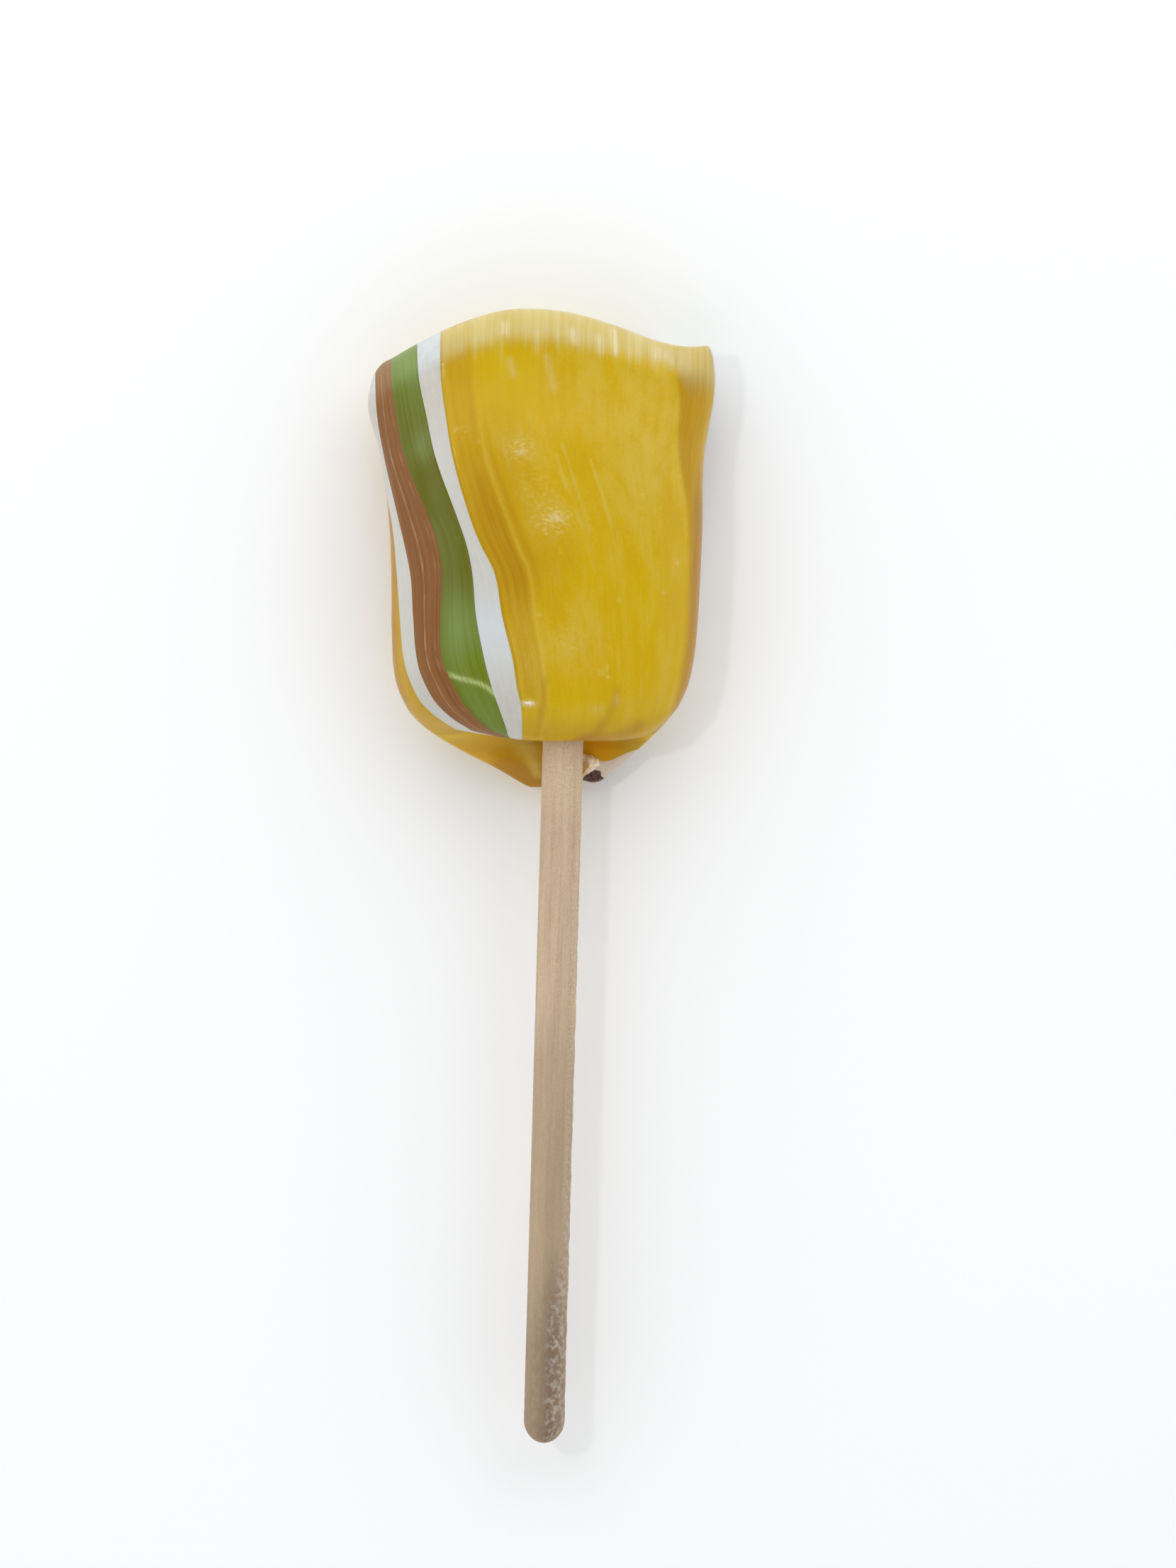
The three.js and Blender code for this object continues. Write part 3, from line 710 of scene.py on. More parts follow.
def yellow_sugar():
    """Honey yellow with paler and deeper streaks, amber lines beside the stripes and pebbly patches; the
    pale band of its top edge is painted reflection, and its glints, sheen and specks are painted
    highlights.
    """
    n = new_look("yellow_sugar")
    amber, pale_and_sheen, deep = n.channels("tone")
    lines, pebbles, hair_lines_and_rim_sheen = n.channels("marks")
    recess, rim_reflection, painted_glints = n.channels("edges")
    broad = n.grain(0.3, 0.02)
    clouds = n.grain(0.45, 0.16, 4, 0.55)
    streaks = n.grain(1.3, 0.03, 3, 0.55)
    hairs = n.grain(6.5, 0.06, 3, 0.6)
    grit = n.grain(2.6, 2.0, 3, 0.7)
    cells = n.grain(1.5, 1.8, 2, 0.6)
    level = n.weighed(-1.38, (broad, 0.55), (clouds, 0.95), (streaks, 0.42), (hairs, 0.28), (grit, 0.54))
    rim_reflection_place = n.weighed(-0.6, (rim_reflection, 1.0), (streaks, 0.9), (hairs, 0.3))
    brown_hairs = n.times(n.between(hairs, 0.46, 0.62), lines)
    amber = n.weighed(-0.14, (amber, 1.0), (brown_hairs, 0.32), (streaks, 0.24))
    # Painted highlights, broken up along the hair lines and whole where they are strongest
    painted_glint_streaks = n.times(n.between(hairs, 0.42, 0.62, 0.25, 1.0), painted_glints)
    colour = n.painted(
        (201, 164, 19),
        (deep, (202, 168, 7)),
        (n.times(level, -0.9, clamp=True), (182, 144, 10)),
        # Paler streaks, and painted sheen
        (n.plus(level, pale_and_sheen), (208, 185, 94)),
        # Painted reflection: the pale band along the top edge
        (n.between(rim_reflection_place, 0.18, 0.8, 0.0, 0.9),
         n.painted((192, 170, 97), (n.between(streaks, 0.35, 0.7), (202, 187, 127)))),
        (n.plus(amber), (168, 120, 18)),
        # The recess's deeper orange: painted shade
        (recess, (212, 150, 12)),
        # Pale hair lines; along the top edge they are streaks of painted reflection
        (n.times(n.between(hairs, 0.58, 0.72, 0.0, 0.5), hair_lines_and_rim_sheen), (220, 210, 170)),
        (n.maths("MAXIMUM", painted_glint_streaks, n.between(painted_glints, 0.6, 0.9)), (236, 234, 218)),
        # Painted highlight specks on the pebbly patches
        (n.times(n.between(cells, 0.5, 0.68, 0.0, 0.5), n.between(pebbles, 0.1, 0.8)), (228, 212, 142)),
    )
    height = n.weighed(0.0, (streaks, 0.35), (hairs, 0.15), (grit, 0.3), (n.times(cells, pebbles), 5.0))
    roughness = n.between(grit, 0.3, 0.7, 0.32, 0.44)
    return finish_sugar(n, colour, roughness, n.bumped(height, 0.5, FINE_RELIEF), 0.25, 0.12)


def white_sugar():
    """Opaque white, faintly rough, with grey mottling, a warm cast, and a bluish cast that is a painted
    reflection of the sky, where tone says.
    """
    n = new_look("white_sugar")
    grey, warm, sky_reflection = n.channels("tone")
    mottle = n.grain(0.8, 0.6, 4, 0.6)
    streaks = n.grain(2.2, 0.06)
    spots = n.times(n.between(mottle, 0.42, 0.62, 0.35, 1.0), grey)
    colour = n.painted(
        (190, 186, 176),
        (n.plus(n.weighed(-0.05, (mottle, 0.5), (streaks, 0.6))), (207, 205, 198)),
        (n.times(sky_reflection, 0.6), (208, 214, 220)),
        (n.times(warm, 0.75), (216, 190, 166)),
        (n.times(spots, 0.45), (158, 152, 144)),
    )
    height = n.weighed(0.0, (mottle, 0.5), (streaks, 0.3))
    return finish_sugar(n, colour, 0.42, n.bumped(height, 0.35, COARSE_RELIEF), 0.1, 0.3)


def green_sugar():
    """Leaf green with paler streaks, olive in the middle and fresher below, and paler still where
    highlights and reflection are painted.
    """
    n = new_look("green_sugar")
    olive, pale_and_sheen, fresh = n.channels("tone")
    streaks = n.grain(1.7, 0.02, 4, 0.6)
    hairs = n.grain(7, 0.05, 2)
    level = n.weighed(-0.45, (streaks, 0.75), (hairs, 0.35), (pale_and_sheen, 0.9))
    # The painted highlight arc, broken up along the hair lines
    painted_glint = n.times(n.channels("painted_glint")[0], n.between(hairs, 0.4, 0.6, 0.5, 1.0))
    colour = n.painted(
        (104, 124, 36),
        (olive, (98, 98, 14)),
        (fresh, (106, 118, 12)),
        (n.plus(level), (134, 154, 96)),
        (painted_glint, (206, 214, 150)),
    )
    height = n.weighed(0.0, (streaks, 0.5), (hairs, 0.5))
    return finish_sugar(n, colour, 0.33, n.bumped(height, 0.4, FINE_RELIEF), 0.12, 0.32)


def brown_sugar():
    """Cocoa brown with thin pale lines, paler where the top edge's reflection is painted, and nearly black
    at the chipped end.
    """
    n = new_look("brown_sugar")
    dark, pale_and_sheen, _ = n.channels("tone")
    streaks = n.grain(1.8, 0.03, 4, 0.6)
    sway = n.grain(0.2, 0.05, 2)
    gaps = n.grain(0.1, 0.35)
    facets = n.grain(0.9, 1.3, 2, 0.4)
    across_band = n.weighed(-0.05, (n.channels("place")[0], 1.0), (sway, 0.1))
    main_line = n.times(n.line(across_band, 0.46, 0.035), n.between(gaps, 0.3, 0.6))
    side_line = n.times(n.line(across_band, 0.83, 0.03), n.between(gaps, 0.45, 0.65, 0.0, 0.6))
    both = n.maths("MAXIMUM", main_line, side_line)
    colour = n.painted(
        (124, 80, 40),
        (n.between(streaks, 0.35, 0.65), (142, 96, 54)),
        (pale_and_sheen, (160, 130, 96)),
        (n.times(both, 0.45), (206, 178, 148)),
        # The chip's near black, with lighter facets that are partly painted highlights
        (dark, n.painted((66, 32, 26), (n.between(facets, 0.42, 0.66), (104, 68, 60)))),
    )
    height = n.weighed(0.0, (streaks, 0.6), (both, 0.3), (n.times(facets, dark), 6.0))
    return finish_sugar(n, colour, 0.34, n.bumped(height, 0.4, FINE_RELIEF), 0.1, 0.22)


def wood():
    """Pale birch: fine grain, a granular surface, whitish flakes on the rough side, grey at the end, and
    darker low down, partly as painted shade.
    """
    n = new_look("pale_birch")
    dark, rough_side, fuzz = n.channels("tone")
    long_streaks = n.grain(1.0, 0.04, 5, 0.6)
    fibres = n.grain(4.5, 0.4, 3, 0.7)
    speckle = n.grain(4.2, 3.0, 3, 0.7)
    cells = n.grain(1.2, 0.95, 3, 0.6)
    granules = n.times(speckle, fuzz)
    level = n.weighed(-0.23, (long_streaks, 0.8), (fibres, 0.45), (cells, 0.26))
    level = n.weighed(level, (granules, 2.2), (fuzz, -1.1))
    flakes = n.times(n.between(cells, 0.44, 0.66), rough_side)
    gaps = n.times(n.between(cells, 0.42, 0.34), rough_side)
    colour = n.painted(
        (156, 128, 98),
        (n.plus(level), (216, 192, 162)),
        (n.times(dark, n.between(cells, 0.3, 0.7, 0.8, 1.15), clamp=True), (118, 96, 74)),
        (n.times(dark, -1.0, clamp=True), (250, 226, 190)),
        (n.times(flakes, 0.75), (184, 172, 158)),
        (n.times(gaps, 0.5), (128, 106, 84)),
    )
    height = n.weighed(0.0, (fibres, 0.3), (granules, 1.0), (flakes, 0.6))
    n.set(Base_Color=colour, Roughness=0.75, Normal=n.bumped(height, 0.6, COARSE_RELIEF))
    return n.owner


def chipped_sugar():
    """Clear beige sugar with whitish broken faces."""
    n = new_look("chipped_sugar")
    cloud = n.noise(n.made("TexCoord")["Object"], 900.0, 4, 0.6)
    colour = n.painted((212, 174, 120), (n.between(cloud, 0.4, 0.62), (236, 222, 200)))
    return finish_sugar(n, colour, 0.3, n.bumped(cloud, 0.5, COARSE_RELIEF), 0.3, 0.1)


MATERIALS = {
    "candy_yellow": yellow_sugar(),
    "candy_white": white_sugar(),
    "candy_green": green_sugar(),
    "candy_brown": brown_sugar(),
    "wood": wood(),
    "chipped": chipped_sugar(),
}

# How far along the streaks each point lies, in millimetres
row_length = np.concatenate([[0], np.cumsum(np.linalg.norm(np.diff(grid[:, HALF // 2], axis=0), axis=1))])
lengthwise = np.repeat(row_length[:, None], COLUMNS, axis=1)
# The stripes' widths in millimetres
BAND_WIDTHS = np.array([3.0, 4.0, 4.5, 3.5])


def band_places():
    """How far across its stripe each column lies, from 0 at the outer edge to 1, and in millimetres."""
    column = np.arange(COLUMNS)
    from_right = np.where(column <= HALF, column, COLUMNS - column)
    from_turn = np.minimum(from_right, HALF - from_right)
    stripe = np.searchsorted(STRIPE_STARTS, from_turn, side="right") - 1
    stripe = np.clip(stripe, 0, len(STRIPE_COLUMNS) - 1)
    inside = (from_turn >= STRIPE_STARTS[0]) & (from_turn <= STRIPE_STARTS[-1])
    place = inside * (from_turn - STRIPE_STARTS[stripe]) / np.diff(STRIPE_STARTS)[stripe]
    return place, place * BAND_WIDTHS[stripe]


band_place, band_mm = band_places()


def layered(first, second, third):
    return np.stack([part + np.zeros_like(X) for part in (first, second, third)], axis=-1)


# Where each point lies in the grain: across the streaks, along them, and a layer for each side of the candy
on_lip = is_front & (grid_s < CREASE + 1.4)
grain_candy = np.where(
    on_lip[..., None],
    layered(grid_s * 2.5, angles * 15, 40.0),
    layered(streak, lengthwise, np.where(is_front, 0.0, 20.0)),
)
grain_stripe = layered(band_mm[None, :], lengthwise, np.where(is_front, 5.0, 25.0))
# The band along the top edge, where the pieces are painted paler and bluer as a reflection of the window
in_rim_reflection = smooth(9.85, 10.3, grid_s)
in_lip = smooth(3.0, 2.2, grid_s) * is_front

# Soft patches of the yellow and of the green, each as its pixel, half width, half height and strength
AMBER_PATCHES = [(712, 690, 4, 11, 0.25), (765, 800, 5, 6, 0.25), (752, 1015, 2.5, 3.5, 0.12)]
# Painted sheen: soft reflection hazes on the face, round the pebbly patches and below the top edge, and
# less of it where negative
PAINTED_SHEEN_PATCHES = [
    (910, 655, 4.5, 9, 0.35), (782, 525, 2.6, 6, 0.2), (835, 540, 3, 7, 0.2), (918, 532, 3, 3, 0.2),
    (808, 905, 3.5, 3.5, 0.3), (735, 625, 3.8, 3, 0.3), (780, 730, 3, 2.8, 0.2), (740, 560, 7, 6, -0.15),
]
DEEP_PATCHES = [
    (712, 515, 4.5, 3.5, 0.8), (815, 820, 5, 5, 0.7), (912, 860, 3.2, 10, 0.8), (870, 530, 3, 3.5, 0.6),
    (735, 577, 3.5, 3.5, 0.6), (800, 1005, 8, 4, 1),
]
# Pebbly patches: bumped, and dotted with painted highlight specks
PEBBLE_PATCHES = [
    (733, 634, 2, 1.6, 0.75), (780, 736, 2.3, 2, 1), (758, 690, 3.2, 3.4, 0.4), (657, 612, 1.6, 1.2, 0.35),
    (808, 905, 3, 3, 0.3),
]
# Painted highlights: the bright spot and soft glows at the bend, and the cores of the two pebbly patches
PAINTED_GLINT_PATCHES = [
    (745, 993, 0.9, 0.3, 1.2), (871, 988, 0.5, 0.8, 0.16), (841, 1001, 1, 0.6, 0.12),
    (735, 641, 0.6, 0.35, 0.5), (786, 732, 0.8, 0.4, 0.52),
]
# Painted highlights on the green, and less of them where negative
GREEN_PAINTED_SHEEN_PATCHES = [
    (652, 880, 2.4, 4.5, 0.4), (575, 520, 2, 2, 0.3), (597, 632, 1.6, 2.2, 0.35), (612, 690, 2.5, 4, -0.3),
]
GREEN_FRESH_PATCHES = [(668, 945, 4, 3.5, 1)]
# Amber lines beside the stripes, each as its place across the streaks, width, strength and how that sways
AMBER_LINES = [(1.25, 0.3, 0.2, -0.08), (2.4, 0.4, 0.16, 0.1), (3.4, 0.25, 0.14, -0.1)]
DIAGONAL_LINES = (
    [(793, 629), (805, 665), (818, 705), (833, 752)], [(785, 644), (799, 691)], [(812, 722), (821, 746)],
    [(833, 650), (841, 678), (850, 704), (860, 740)],
)
LIP_STEP = [(712, 1072), (735, 1085), (762, 1108)]
# Painted highlights: whitish streaks near the top edge, each as the pixels of its top and bottom, and how
# strong it is
TOP_PAINTED_GLINTS = [
    (711, 460, 713, 470, 0.6), (806, 470, 810, 484, 0.8), (843, 478, 845, 498, 0.5),
    (865, 470, 868, 499, 0.7), (922, 494, 924, 503, 0.5), (930, 496, 931, 505, 0.6),
    (938, 498, 940, 505, 0.5), (946, 502, 947, 512, 0.4), (962, 502, 963, 514, 0.3),
    (720, 512, 724, 530, 0.3), (772, 506, 781, 550, 0.25), (755, 475, 757, 495, 0.3),
]


def amber_beside_stripes():
    """Amber along the inner white stripe, with finer lines in it that sway in strength."""
    foot = smooth(22, 14, Y)
    band = smooth(4.3, 3.7, streak) * smooth(-0.3, 0.1, streak)
    amber = band * (0.2 + 0.16 * smooth(42, 30, Y) - 0.22 * foot)
    amber = np.maximum(amber, 0.55 * bump(streak, 0.1, 0.3))
    sway = 0.5 * np.sin(Y / 4.3) + 0.5 * np.sin(Y / 2.7 + 1)
    strength = 0.4 + 0.6 * smooth(44, 34, Y) - 0.35 * foot
    for place, width, line, swayed in AMBER_LINES:
        amber = amber + (line + swayed * sway) * bump(streak, place, width) * strength
    amber = amber + 0.3 * bump(streak, 5.1, 0.5) * smooth(46, 36, Y) * smooth(18, 26, Y)
    return amber * near_stripe


def amber_tone():
    """Where the yellow sugar is amber: beside the stripes, at its turns, in its folds and on the lip."""
    at_turn = np.maximum(smooth(0.9, 0.965, side), smooth(-0.91, -0.99, side)) * (1 - in_rim_reflection)
    fold = smooth(fold_place - 0.01, fold_place + 0.015, side) * (1 - 0.85 * in_rim_reflection)
    amber = np.maximum.reduce([
        amber_beside_stripes(),
        at_turn * smooth(LOBE - 1, BEND + 0.5, grid_s) * (0.95 - 0.6 * smooth(30, 40, Y)),
        0.5 * smooth(-4, -8, streak) * smooth(30, 22, Y) * on_front,
        0.34 * smooth(5.7, 4.7, grid_s) * on_front,
        fold * smooth(5, 30, Y) * (0.55 - 0.25 * smooth(0.93, 0.97, side)),
        smooth(4.7, 4.1, grid_s) * is_front * (0.45 + 0.25 * (PX > 0)),
        0.4 * near_line(LOWER_VALLEY, 1.2) * is_front,
    ])
    lip_amber = 0.45 + 0.45 * near_line(LIP_STEP, 3) + 0.9 * smooth(1.5, 0.7, grid_s)
    # Less amber along the lip's fold: painted light
    lip_amber = lip_amber * (1 - 0.75 * near_line(LIP_FOLD, 2.6))
    amber = np.where(in_lip > 0, in_lip * np.where(PX < 0, lip_amber, 0.45), amber)
    amber = amber + 0.4 * near_line(LOBE_RIM, 1.3) * is_front * (grid_s > LOBE - 0.8)
    amber = amber + (0.34 * near_line(CURVED_CREASE, 1.3) + patches(AMBER_PATCHES)) * on_front
    return np.clip(amber, 0, 1)


def pale_and_sheen_tone():
    """Where the yellow sugar is paler, or less pale where the value is negative: partly its own pale lines
    and bubbles, partly painted sheen, highlight and light.
    """
    return sum([
        patches(PAINTED_SHEEN_PATCHES),
        patches((x, y, 0.8 * size, 0.8 * size, 0.8) for x, y, size in BUBBLES) * is_front,
        0.34 * sum(near_line(pixels, 0.45) for pixels in DIAGONAL_LINES),
        0.25 * smooth(4.3, 3.5, streak) * smooth(22, 12, Y) * near_stripe,
        # A painted highlight along the ridge beside the amber band
        0.25 * bump(streak, 4.3, 0.3) * near_stripe,
        # Painted light on the upper left of the lip, which lies in the lobe's shade, and along its fold
        0.35 * in_lip * (PX < 0) * smooth(1.0, 1.8, grid_s),
        0.7 * in_lip * near_line(LIP_FOLD, 2.6),
        0.4 * near_line(LOBE_RIM, 1.0) * is_front,
    ])


def candy_marks():
    """Where the yellow sugar has brown hair lines, pebbly patches with painted highlight specks, and pale
    hair lines, which on the top edge are painted reflection.
    """
    lines = smooth(4.2, 3.6, streak) * smooth(0, 0.4, streak) * near_stripe
    lines = lines * (0.4 + 0.4 * smooth(42, 30, Y))
    lines = np.maximum(lines, 0.8 * smooth(fold_place, fold_place + 0.03, side) * smooth(10, 30, Y))
    lines = np.maximum(lines, 0.12 * in_lip)
    return layered(lines, np.clip(patches(PEBBLE_PATCHES), 0, 1), 0.5 * in_rim_reflection + 0.06 * (1 - in_lip))


def candy_edges():
    """Where the yellow sugar has a deeper orange painted as shade in the lip's recess, the top edge's pale
    band of painted reflection, and its whitish streaks of painted highlight.
    """
    # A deeper orange where the lip's recess and the left of the lip lie in the lobe's shade: painted shade
    recess = 0.9 * smooth(-0.5, 0.5, PX) * smooth(9.5, 5.0, PX)
    recess = in_lip * (recess + 0.35 * smooth(0.5, -0.5, PX) * smooth(0.8, 1.5, grid_s))
    rim_reflection_start = 10.09 + 0.17 * smooth(3, 12, PX) - 0.38 * smooth(14.6, 17.8, PX)
    rim_reflection = 0.5 + np.clip((grid_s - rim_reflection_start) / 0.42, -0.5, 0.5) * np.where(is_front, 1, 0.8)
    painted_glints = patches(PAINTED_GLINT_PATCHES)
    for *ends, strength in TOP_PAINTED_GLINTS:
        painted_glints = np.maximum(painted_glints, 0.6 * strength * near_line([ends[:2], ends[2:]], 1.1))
    return layered(recess, rim_reflection, np.minimum(painted_glints, 1) * is_front)


def white_tone():
    """Where a white stripe is mottled grey, warm, and bluish with a painted reflection of the sky."""
    grey = 0.6 * smooth(12, 5, Y) + 0.5 * smooth(38, 46, Y)
    grey = np.where(on_front, grey, 0.7 * smooth(3, 1, grid_s))
    # The warm cast is the lip's own pinkish white; near the top it is painted shade, a tint that tones down
    # the window's light there
    warm = smooth(2.6, 2.2, grid_s) * (PX > 0) + 0.2 * on_front * bump(Y, 46.5, 4)
    # Painted reflection of the sky: on the top edge, and on the lower left of the stripes
    sky_reflection = np.maximum(in_rim_reflection, bump(Y, 15, 5) * smooth(-14, -11, PX))
    return layered(grey, warm, sky_reflection)


def brown_tone():
    """Where a brown stripe is the chip's near black, and where it is painted paler as the top edge's
    reflection.
    """
    chip = smooth(2.2, 1.2, grid_s) * (PX > 0) * smooth(9, 7, np.abs(X))
    return layered(chip, 0.42 * in_rim_reflection, 0)


def green_tone():
    """Where a green stripe is olive, fresher, and paler where highlights and the top edge's reflection are
    painted.
    """
    olive = smooth(54, 40, Y) * smooth(14, 22, Y)
    olive = olive + (1 - olive) * 0.6 * smooth(0.35, 0.0, band_place)
    return layered(olive, 0.36 * in_rim_reflection + patches(GREEN_PAINTED_SHEEN_PATCHES), patches(GREEN_FRESH_PATCHES))


STRIPE_TONES = {"white": white_tone(), "brown": brown_tone(), "green": green_tone()}


def twice(values):
    """The same vectors for the skin and for the floor under it."""
    flat = values.reshape(-1, 3)
    return np.vstack([flat, flat])


def dress(piece, slot, node=None, look=None):
    piece.data.materials.append(MATERIALS[look or slot])
    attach(piece, "root")
    if node:
        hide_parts(node)


all_points = np.vstack([grid.reshape(-1, 3), inner_grid.reshape(-1, 3)])


def make_sugar(name, faces, slot, node, **vectors):
    vectors = {key: twice(values) for key, values in vectors.items()}
    dress(mesh_object(name, all_points, faces, vectors), slot, node)


def make_candy():
    is_candy = owners == CANDY
    skin = quads(outer_numbers, *np.nonzero(is_candy))
    floor = quads(inner_numbers, *np.nonzero(~is_candy))
    faces = np.vstack([skin, floor, walls(~is_candy)[:, ::-1]])
    tone = layered(amber_tone(), pale_and_sheen_tone(), np.clip(patches(DEEP_PATCHES), 0, 1))
    vectors = {"grain": grain_candy, "tone": tone, "marks": candy_marks(), "edges": candy_edges()}
    make_sugar("yellow_candy", faces, "candy_yellow", "candy", **vectors)


def make_stripe(number):
    name = OWNERS[number]
    kind = name.split("_")[-1]
    mine = owners == number
    skin = quads(outer_numbers, *np.nonzero(mine))
    floor = quads(inner_numbers, *np.nonzero(mine))[:, ::-1]
    faces = np.vstack([skin, floor, walls(mine)])
    place = layered(band_place, 0, 0)
    # The green's painted highlight arc
    arc = layered(0.75 * near_line(GREEN_PAINTED_GLINT, 0.6) * on_front, 0, 0)
    vectors = {"grain": grain_stripe, "place": place, "tone": STRIPE_TONES[kind], "painted_glint": arc}
    make_sugar(f"{name}_sugar", faces, f"candy_{kind}", f"{name}_stripe", **vectors)


# The stick's mesh, and its rough side: which way it faces, and how far that turns up near the lower end
STICK_SIDES = 72
STICK_RINGS = 470
END_RINGS = 14
ROUGH_TURN = -0.35
ROUGH_RISE = 0.8
# Cells of the stick's surface, and their bumps on the rough side, all round and at most, in millimetres
CELL = 0.8
FINE_CELL = 0.4
CELL_BUMP = 0.09
FINE_BUMP = 0.03
PLAIN_BUMP = 0.02
HIGHEST_BUMP = 0.03
LATTICE = 512


def lattice_noise(u, v, seed):
    """Smooth noise from 0 to 1 with cells one unit wide."""
    table = np.random.default_rng(seed).random((LATTICE, LATTICE))
    i, j = np.floor(u).astype(int), np.floor(v).astype(int)
    a, b = u - i, v - j
    a, b = a * a * (3 - 2 * a), b * b * (3 - 2 * b)
    i0, i1, j0, j1 = i % LATTICE, (i + 1) % LATTICE, j % LATTICE, (j + 1) % LATTICE
    low = table[i0, j0] * (1 - a) + table[i1, j0] * a
    high = table[i0, j1] * (1 - a) + table[i1, j1] * a
    return low * (1 - b) + high * b


def stick_roughness(angle, length):
    """How rough each place is, and how far it is from round, in millimetres."""
    facing_right = np.cos(angle - ROUGH_TURN - ROUGH_RISE * smooth(30, 15, length))
    rough_side = 0.9 * smooth(0.1, 0.75, facing_right) * smooth(96, 60, length)
    rough_side = rough_side + 0.2 * smooth(0.2, 0.9, facing_right)
    arc = STICK_RADIUS * np.sin(angle)
    rise = STICK_RADIUS * np.cos(angle)
    cells = lattice_noise(arc / CELL + 40, length, 3)
    cells = cells + lattice_noise(rise / CELL + 60, length / 0.9, 4)
    fine = lattice_noise(arc / FINE_CELL + 90, length / 0.45, 5)
    fine = fine + lattice_noise(rise / FINE_CELL + 30, length / 0.45, 6)
    bumps = (cells - 1) * CELL_BUMP * rough_side + (fine - 1) * (PLAIN_BUMP + FINE_BUMP * rough_side)
    return rough_side, np.minimum(bumps, HIGHEST_BUMP)


def stick_tone(angle, length, rough_side):
    """Where the wood is darker, partly a dirty lower end and partly painted shade, or lighter where that is
    negative, where it is rough, and its fuzz.
    """
    middle = bump(np.cos(angle), 0.3, 0.55) * (np.sin(angle) > 0)
    # Darker towards the lower end and lighter near the candy: partly a dirty end, partly painted shade
    # where the light falls off along the stick
    worn_and_shaded = 0.27 * smooth(62, 50, length) + 0.32 * smooth(28, 10, length) - 0.18 * smooth(82, 90, length)
    worn_and_shaded = worn_and_shaded + (0.14 * smooth(50, 40, length) + 0.36 * smooth(30, 17, length)) * middle
    fuzz = np.clip(0.25 + rough_side + 0.6 * smooth(80, 94, length), 0, 1)
    return np.stack([worn_and_shaded, rough_side * smooth(70, 10, length), fuzz], axis=-1).reshape(-1, 3)


def placed(away, y, height):
    """Points of the leaning stick: how far right of its middle line, how far along and above it."""
    x = away * math.cos(STICK_LEAN) + y * math.sin(STICK_LEAN)
    up = y * math.cos(STICK_LEAN) - away * math.sin(STICK_LEAN)
    return np.stack([x, up, height + STICK_HEIGHT], axis=-1)


def with_ends(values):
    """The rings' values, with those of the two middle points of the ends after them."""
    return np.vstack([values, values[:1], values[-1:]])


def make_stick():
    """The stick as a grid of rings, from the rounded lower end to the end inside the candy."""
    quarter = np.linspace(0, math.pi / 2, END_RINGS)
    at_end = STICK_END * (1 - np.cos(quarter))[1:]
    places = np.concatenate([at_end, np.linspace(STICK_END, STICK_LENGTH, STICK_RINGS)[1:]])
    turn = np.linspace(0, 2 * math.pi, STICK_SIDES, endpoint=False)
    length, angle = np.meshgrid(places, turn, indexing="ij")
    from_end = np.clip(1 - length / STICK_END, 0, 1)
    rough_side, bumps = stick_roughness(angle, length)
    bare = STICK_LENGTH - STICK_INSIDE
    shown = smooth(0, 2, length) * smooth(bare, bare - 1, length)
    radius = STICK_RADIUS * np.sqrt(1 - from_end**2) + bumps * shown
    body_points = placed(radius * np.cos(angle), length - bare, radius * np.sin(angle)).reshape(-1, 3)
    ends = placed(np.zeros(2), np.array([-bare, STICK_INSIDE]), np.zeros(2))
    numbers = np.arange(length.size).reshape(length.shape)
    beside = np.roll(numbers, -1, axis=1)
    body = np.stack([numbers[:-1], numbers[1:], beside[1:], beside[:-1]], axis=-1).reshape(-1, 4)
    lower_middle = np.full(STICK_SIDES, length.size)
    lower_cap = np.stack([lower_middle, numbers[0], beside[0]], axis=1)
    upper_cap = np.stack([lower_middle + 1, beside[-1], numbers[-1]], axis=1)
    grain = np.stack([angle * STICK_RADIUS, length, np.zeros_like(length)], axis=-1).reshape(-1, 3)
    vectors = {"grain": with_ends(grain), "tone": with_ends(stick_tone(angle, length, rough_side))}
    points = np.vstack([body_points, ends])
    stick = mesh_object("birch_stick", points, body, vectors, np.vstack([lower_cap, upper_cap]))
    dress(stick, "wood", "stick")


# The chipped lump between the stick and the lip's white end: its outline in the photograph, and its top
# points, each as its pixel and its height over the lip
LUMP_OUTLINE = [
    (815, 1062), (834, 1065), (844, 1070), (847.5, 1079), (841, 1083), (832, 1090.5), (822, 1099),
    (815, 1101),
]
LUMP_TOPS = [
    (826, 1068, 0.6), (835, 1071, 0.9), (841, 1077, 0.7), (829, 1083, 0.6), (834, 1078, 1.0),
    (824, 1090, 0.5), (821, 1094, 0.35),
]
LUMP_DEPTH = 1.6
LUMP_RISE = 0.15
LUMP_CUTS = 5
# How far its faces are from flat, and how many of their hollows there are per millimetre
LUMP_SWELL = 0.12
LUMP_GRAIN = 2.2


def lip_height(x, y):
    """The height of the lip's upper face at X and Y."""
    far_off = 1e3
    away = (X - x) ** 2 + (Y - y) ** 2 + far_off * (~is_front | (grid_s > CREASE))
    return Z.ravel()[np.argmin(away)]


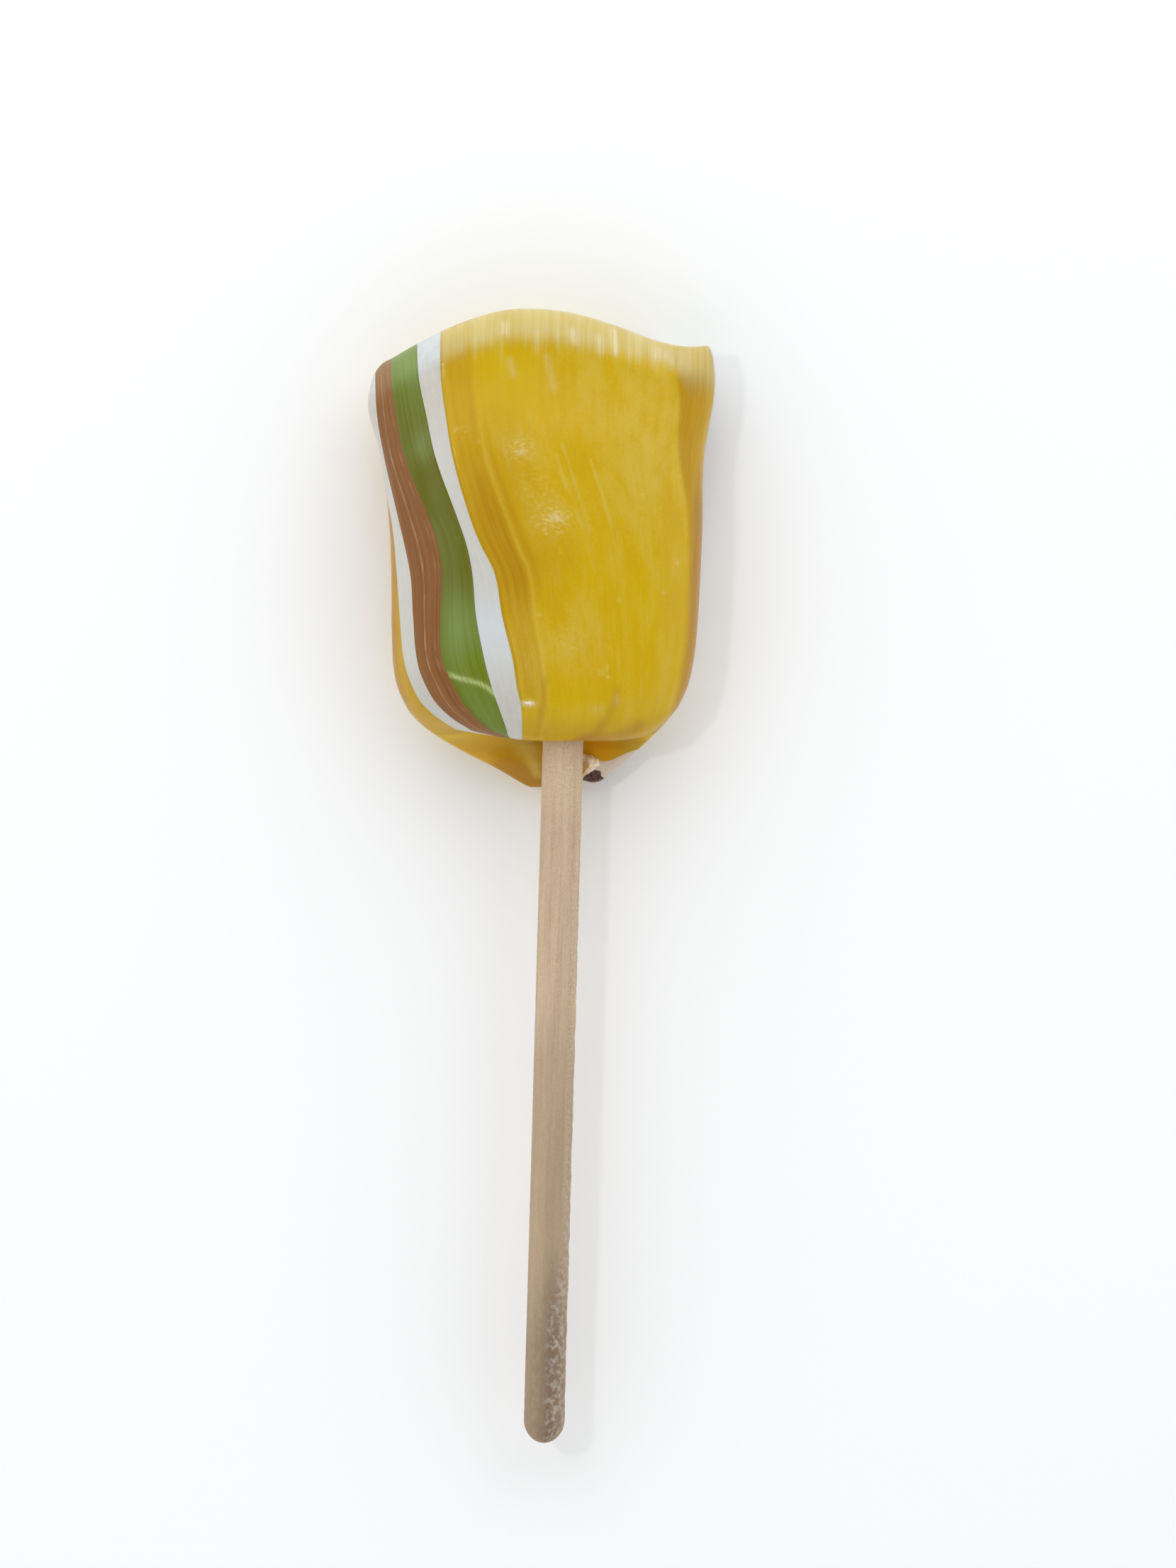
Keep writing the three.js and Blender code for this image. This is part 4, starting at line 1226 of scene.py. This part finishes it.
def make_lump():
    """The broken lump, as the hull of its outline and its top points, roughened."""
    lump = bmesh.new()
    rises = [(*pixel, rise) for pixel in LUMP_OUTLINE for rise in (LUMP_RISE, -LUMP_DEPTH)]
    for *pixel, rise in rises + LUMP_TOPS:
        x, y = from_pixel(*pixel)
        lump.verts.new((np.array([x, y, lip_height(x, y) + rise]) + SHIFT) * MM)
    hull = bmesh.ops.convex_hull(lump, input=lump.verts)
    inner = [part for part in hull["geom_interior"] if isinstance(part, bmesh.types.BMVert)]
    bmesh.ops.delete(lump, geom=inner, context="VERTS")
    bmesh.ops.subdivide_edges(lump, edges=lump.edges, cuts=LUMP_CUTS, use_grid_fill=True)
    for vertex in lump.verts:
        x, y, z = vertex.co / MM * LUMP_GRAIN
        swell = lattice_noise(np.array([x + 60]), np.array([y + z + 60]), 9)[0] - 0.5
        vertex.co += vertex.normal * swell * LUMP_SWELL * MM
    bmesh.ops.recalc_face_normals(lump, faces=lump.faces)
    mesh = bpy.data.meshes.new("chipped_lump")
    lump.to_mesh(mesh)
    lump.free()
    dress(in_scene("chipped_lump", mesh), "candy_white", look="chipped")


make_candy()
for number in range(1, len(OWNERS)):
    make_stripe(number)
make_stick()
make_lump()

# Camera: straight above, with the photograph's frame. These are its middle and height in photograph pixels.
VIEW_MIDDLE = (829.5, 1106.0)
VIEW_HEIGHT = 2212.0
CAMERA_DISTANCE = 1500.0
SENSOR = 24.0


def make_camera():
    data = bpy.data.cameras.new("camera")
    camera = in_scene("camera", data)
    x, y = from_pixel(*VIEW_MIDDLE)
    place = np.array([x, y, STICK_HEIGHT + CAMERA_DISTANCE]) + SHIFT
    camera.location = (place * MM).tolist()
    data.sensor_fit = "VERTICAL"
    data.sensor_height = SENSOR
    data.lens = SENSOR * CAMERA_DISTANCE / (VIEW_HEIGHT / PIXELS_PER_MM)
    bpy.context.scene.camera = camera


# The floor's side in metres, and how bright the room is below the first and above the second height of
# sight, which is 1 straight up
FLOOR_SIDE = 6
ROOM_HEIGHTS = (0.55, 0.9)
ROOM_LEVELS = (1.2, 0.13)


def make_floor():
    bpy.ops.mesh.primitive_plane_add(size=FLOOR_SIDE, location=(0, 0, 0))
    floor = bpy.context.object
    floor.name = "floor"
    n = new_look("pale_floor")
    n.set(Base_Color=(0.95, 0.95, 0.95, 1), Roughness=0.9)
    floor.data.materials.append(n.owner)


def soft_light(name, place, aim, size, radiance, colour):
    """A flat light of the given brightness. Places and sizes are in metres."""
    data = bpy.data.lights.new(name, "AREA")
    data.shape = "RECTANGLE"
    data.size, data.size_y = size
    data.energy = radiance * math.pi * size[0] * size[1]
    data.color = colour
    light = in_scene(name, data)
    light.location = place
    light.rotation_euler = (Vector(aim) - Vector(place)).to_track_quat("-Z", "Y").to_euler()
    light.visible_camera = False


def make_room():
    """A soft white room: bright low down, darker overhead, so that flat gloss keeps its colour."""
    world = bpy.data.worlds.new("soft_room")
    n = Nodes(world)
    up = n.made("SeparateXYZ", [n.made("TexCoord")["Generated"]])["Z"]
    background = n.tree.nodes["Background"].inputs
    n.feed(background["Color"], (0.98, 0.99, 1.0, 1))
    n.feed(background["Strength"], n.between(up, *ROOM_HEIGHTS, *ROOM_LEVELS))
    bpy.context.scene.world = world


make_camera()
make_floor()
make_room()
soft_light("window", (0.0, 0.7, 0.55), (0, 0.05, 0.0), (1.3, 1.1), 1.05, (0.92, 0.97, 1.0))
soft_light("lamp", (0.0, -0.45, 0.75), (0, 0.03, 0.0), (0.5, 0.45), 0.59, (1.0, 0.98, 0.95))
soft_light("ceiling", (-0.42, 0.18, 0.95), (0, 0.03, 0.0), (0.08, 0.08), 50.0, (1.0, 0.99, 0.97))
bpy.context.scene.view_settings.view_transform = "Standard"
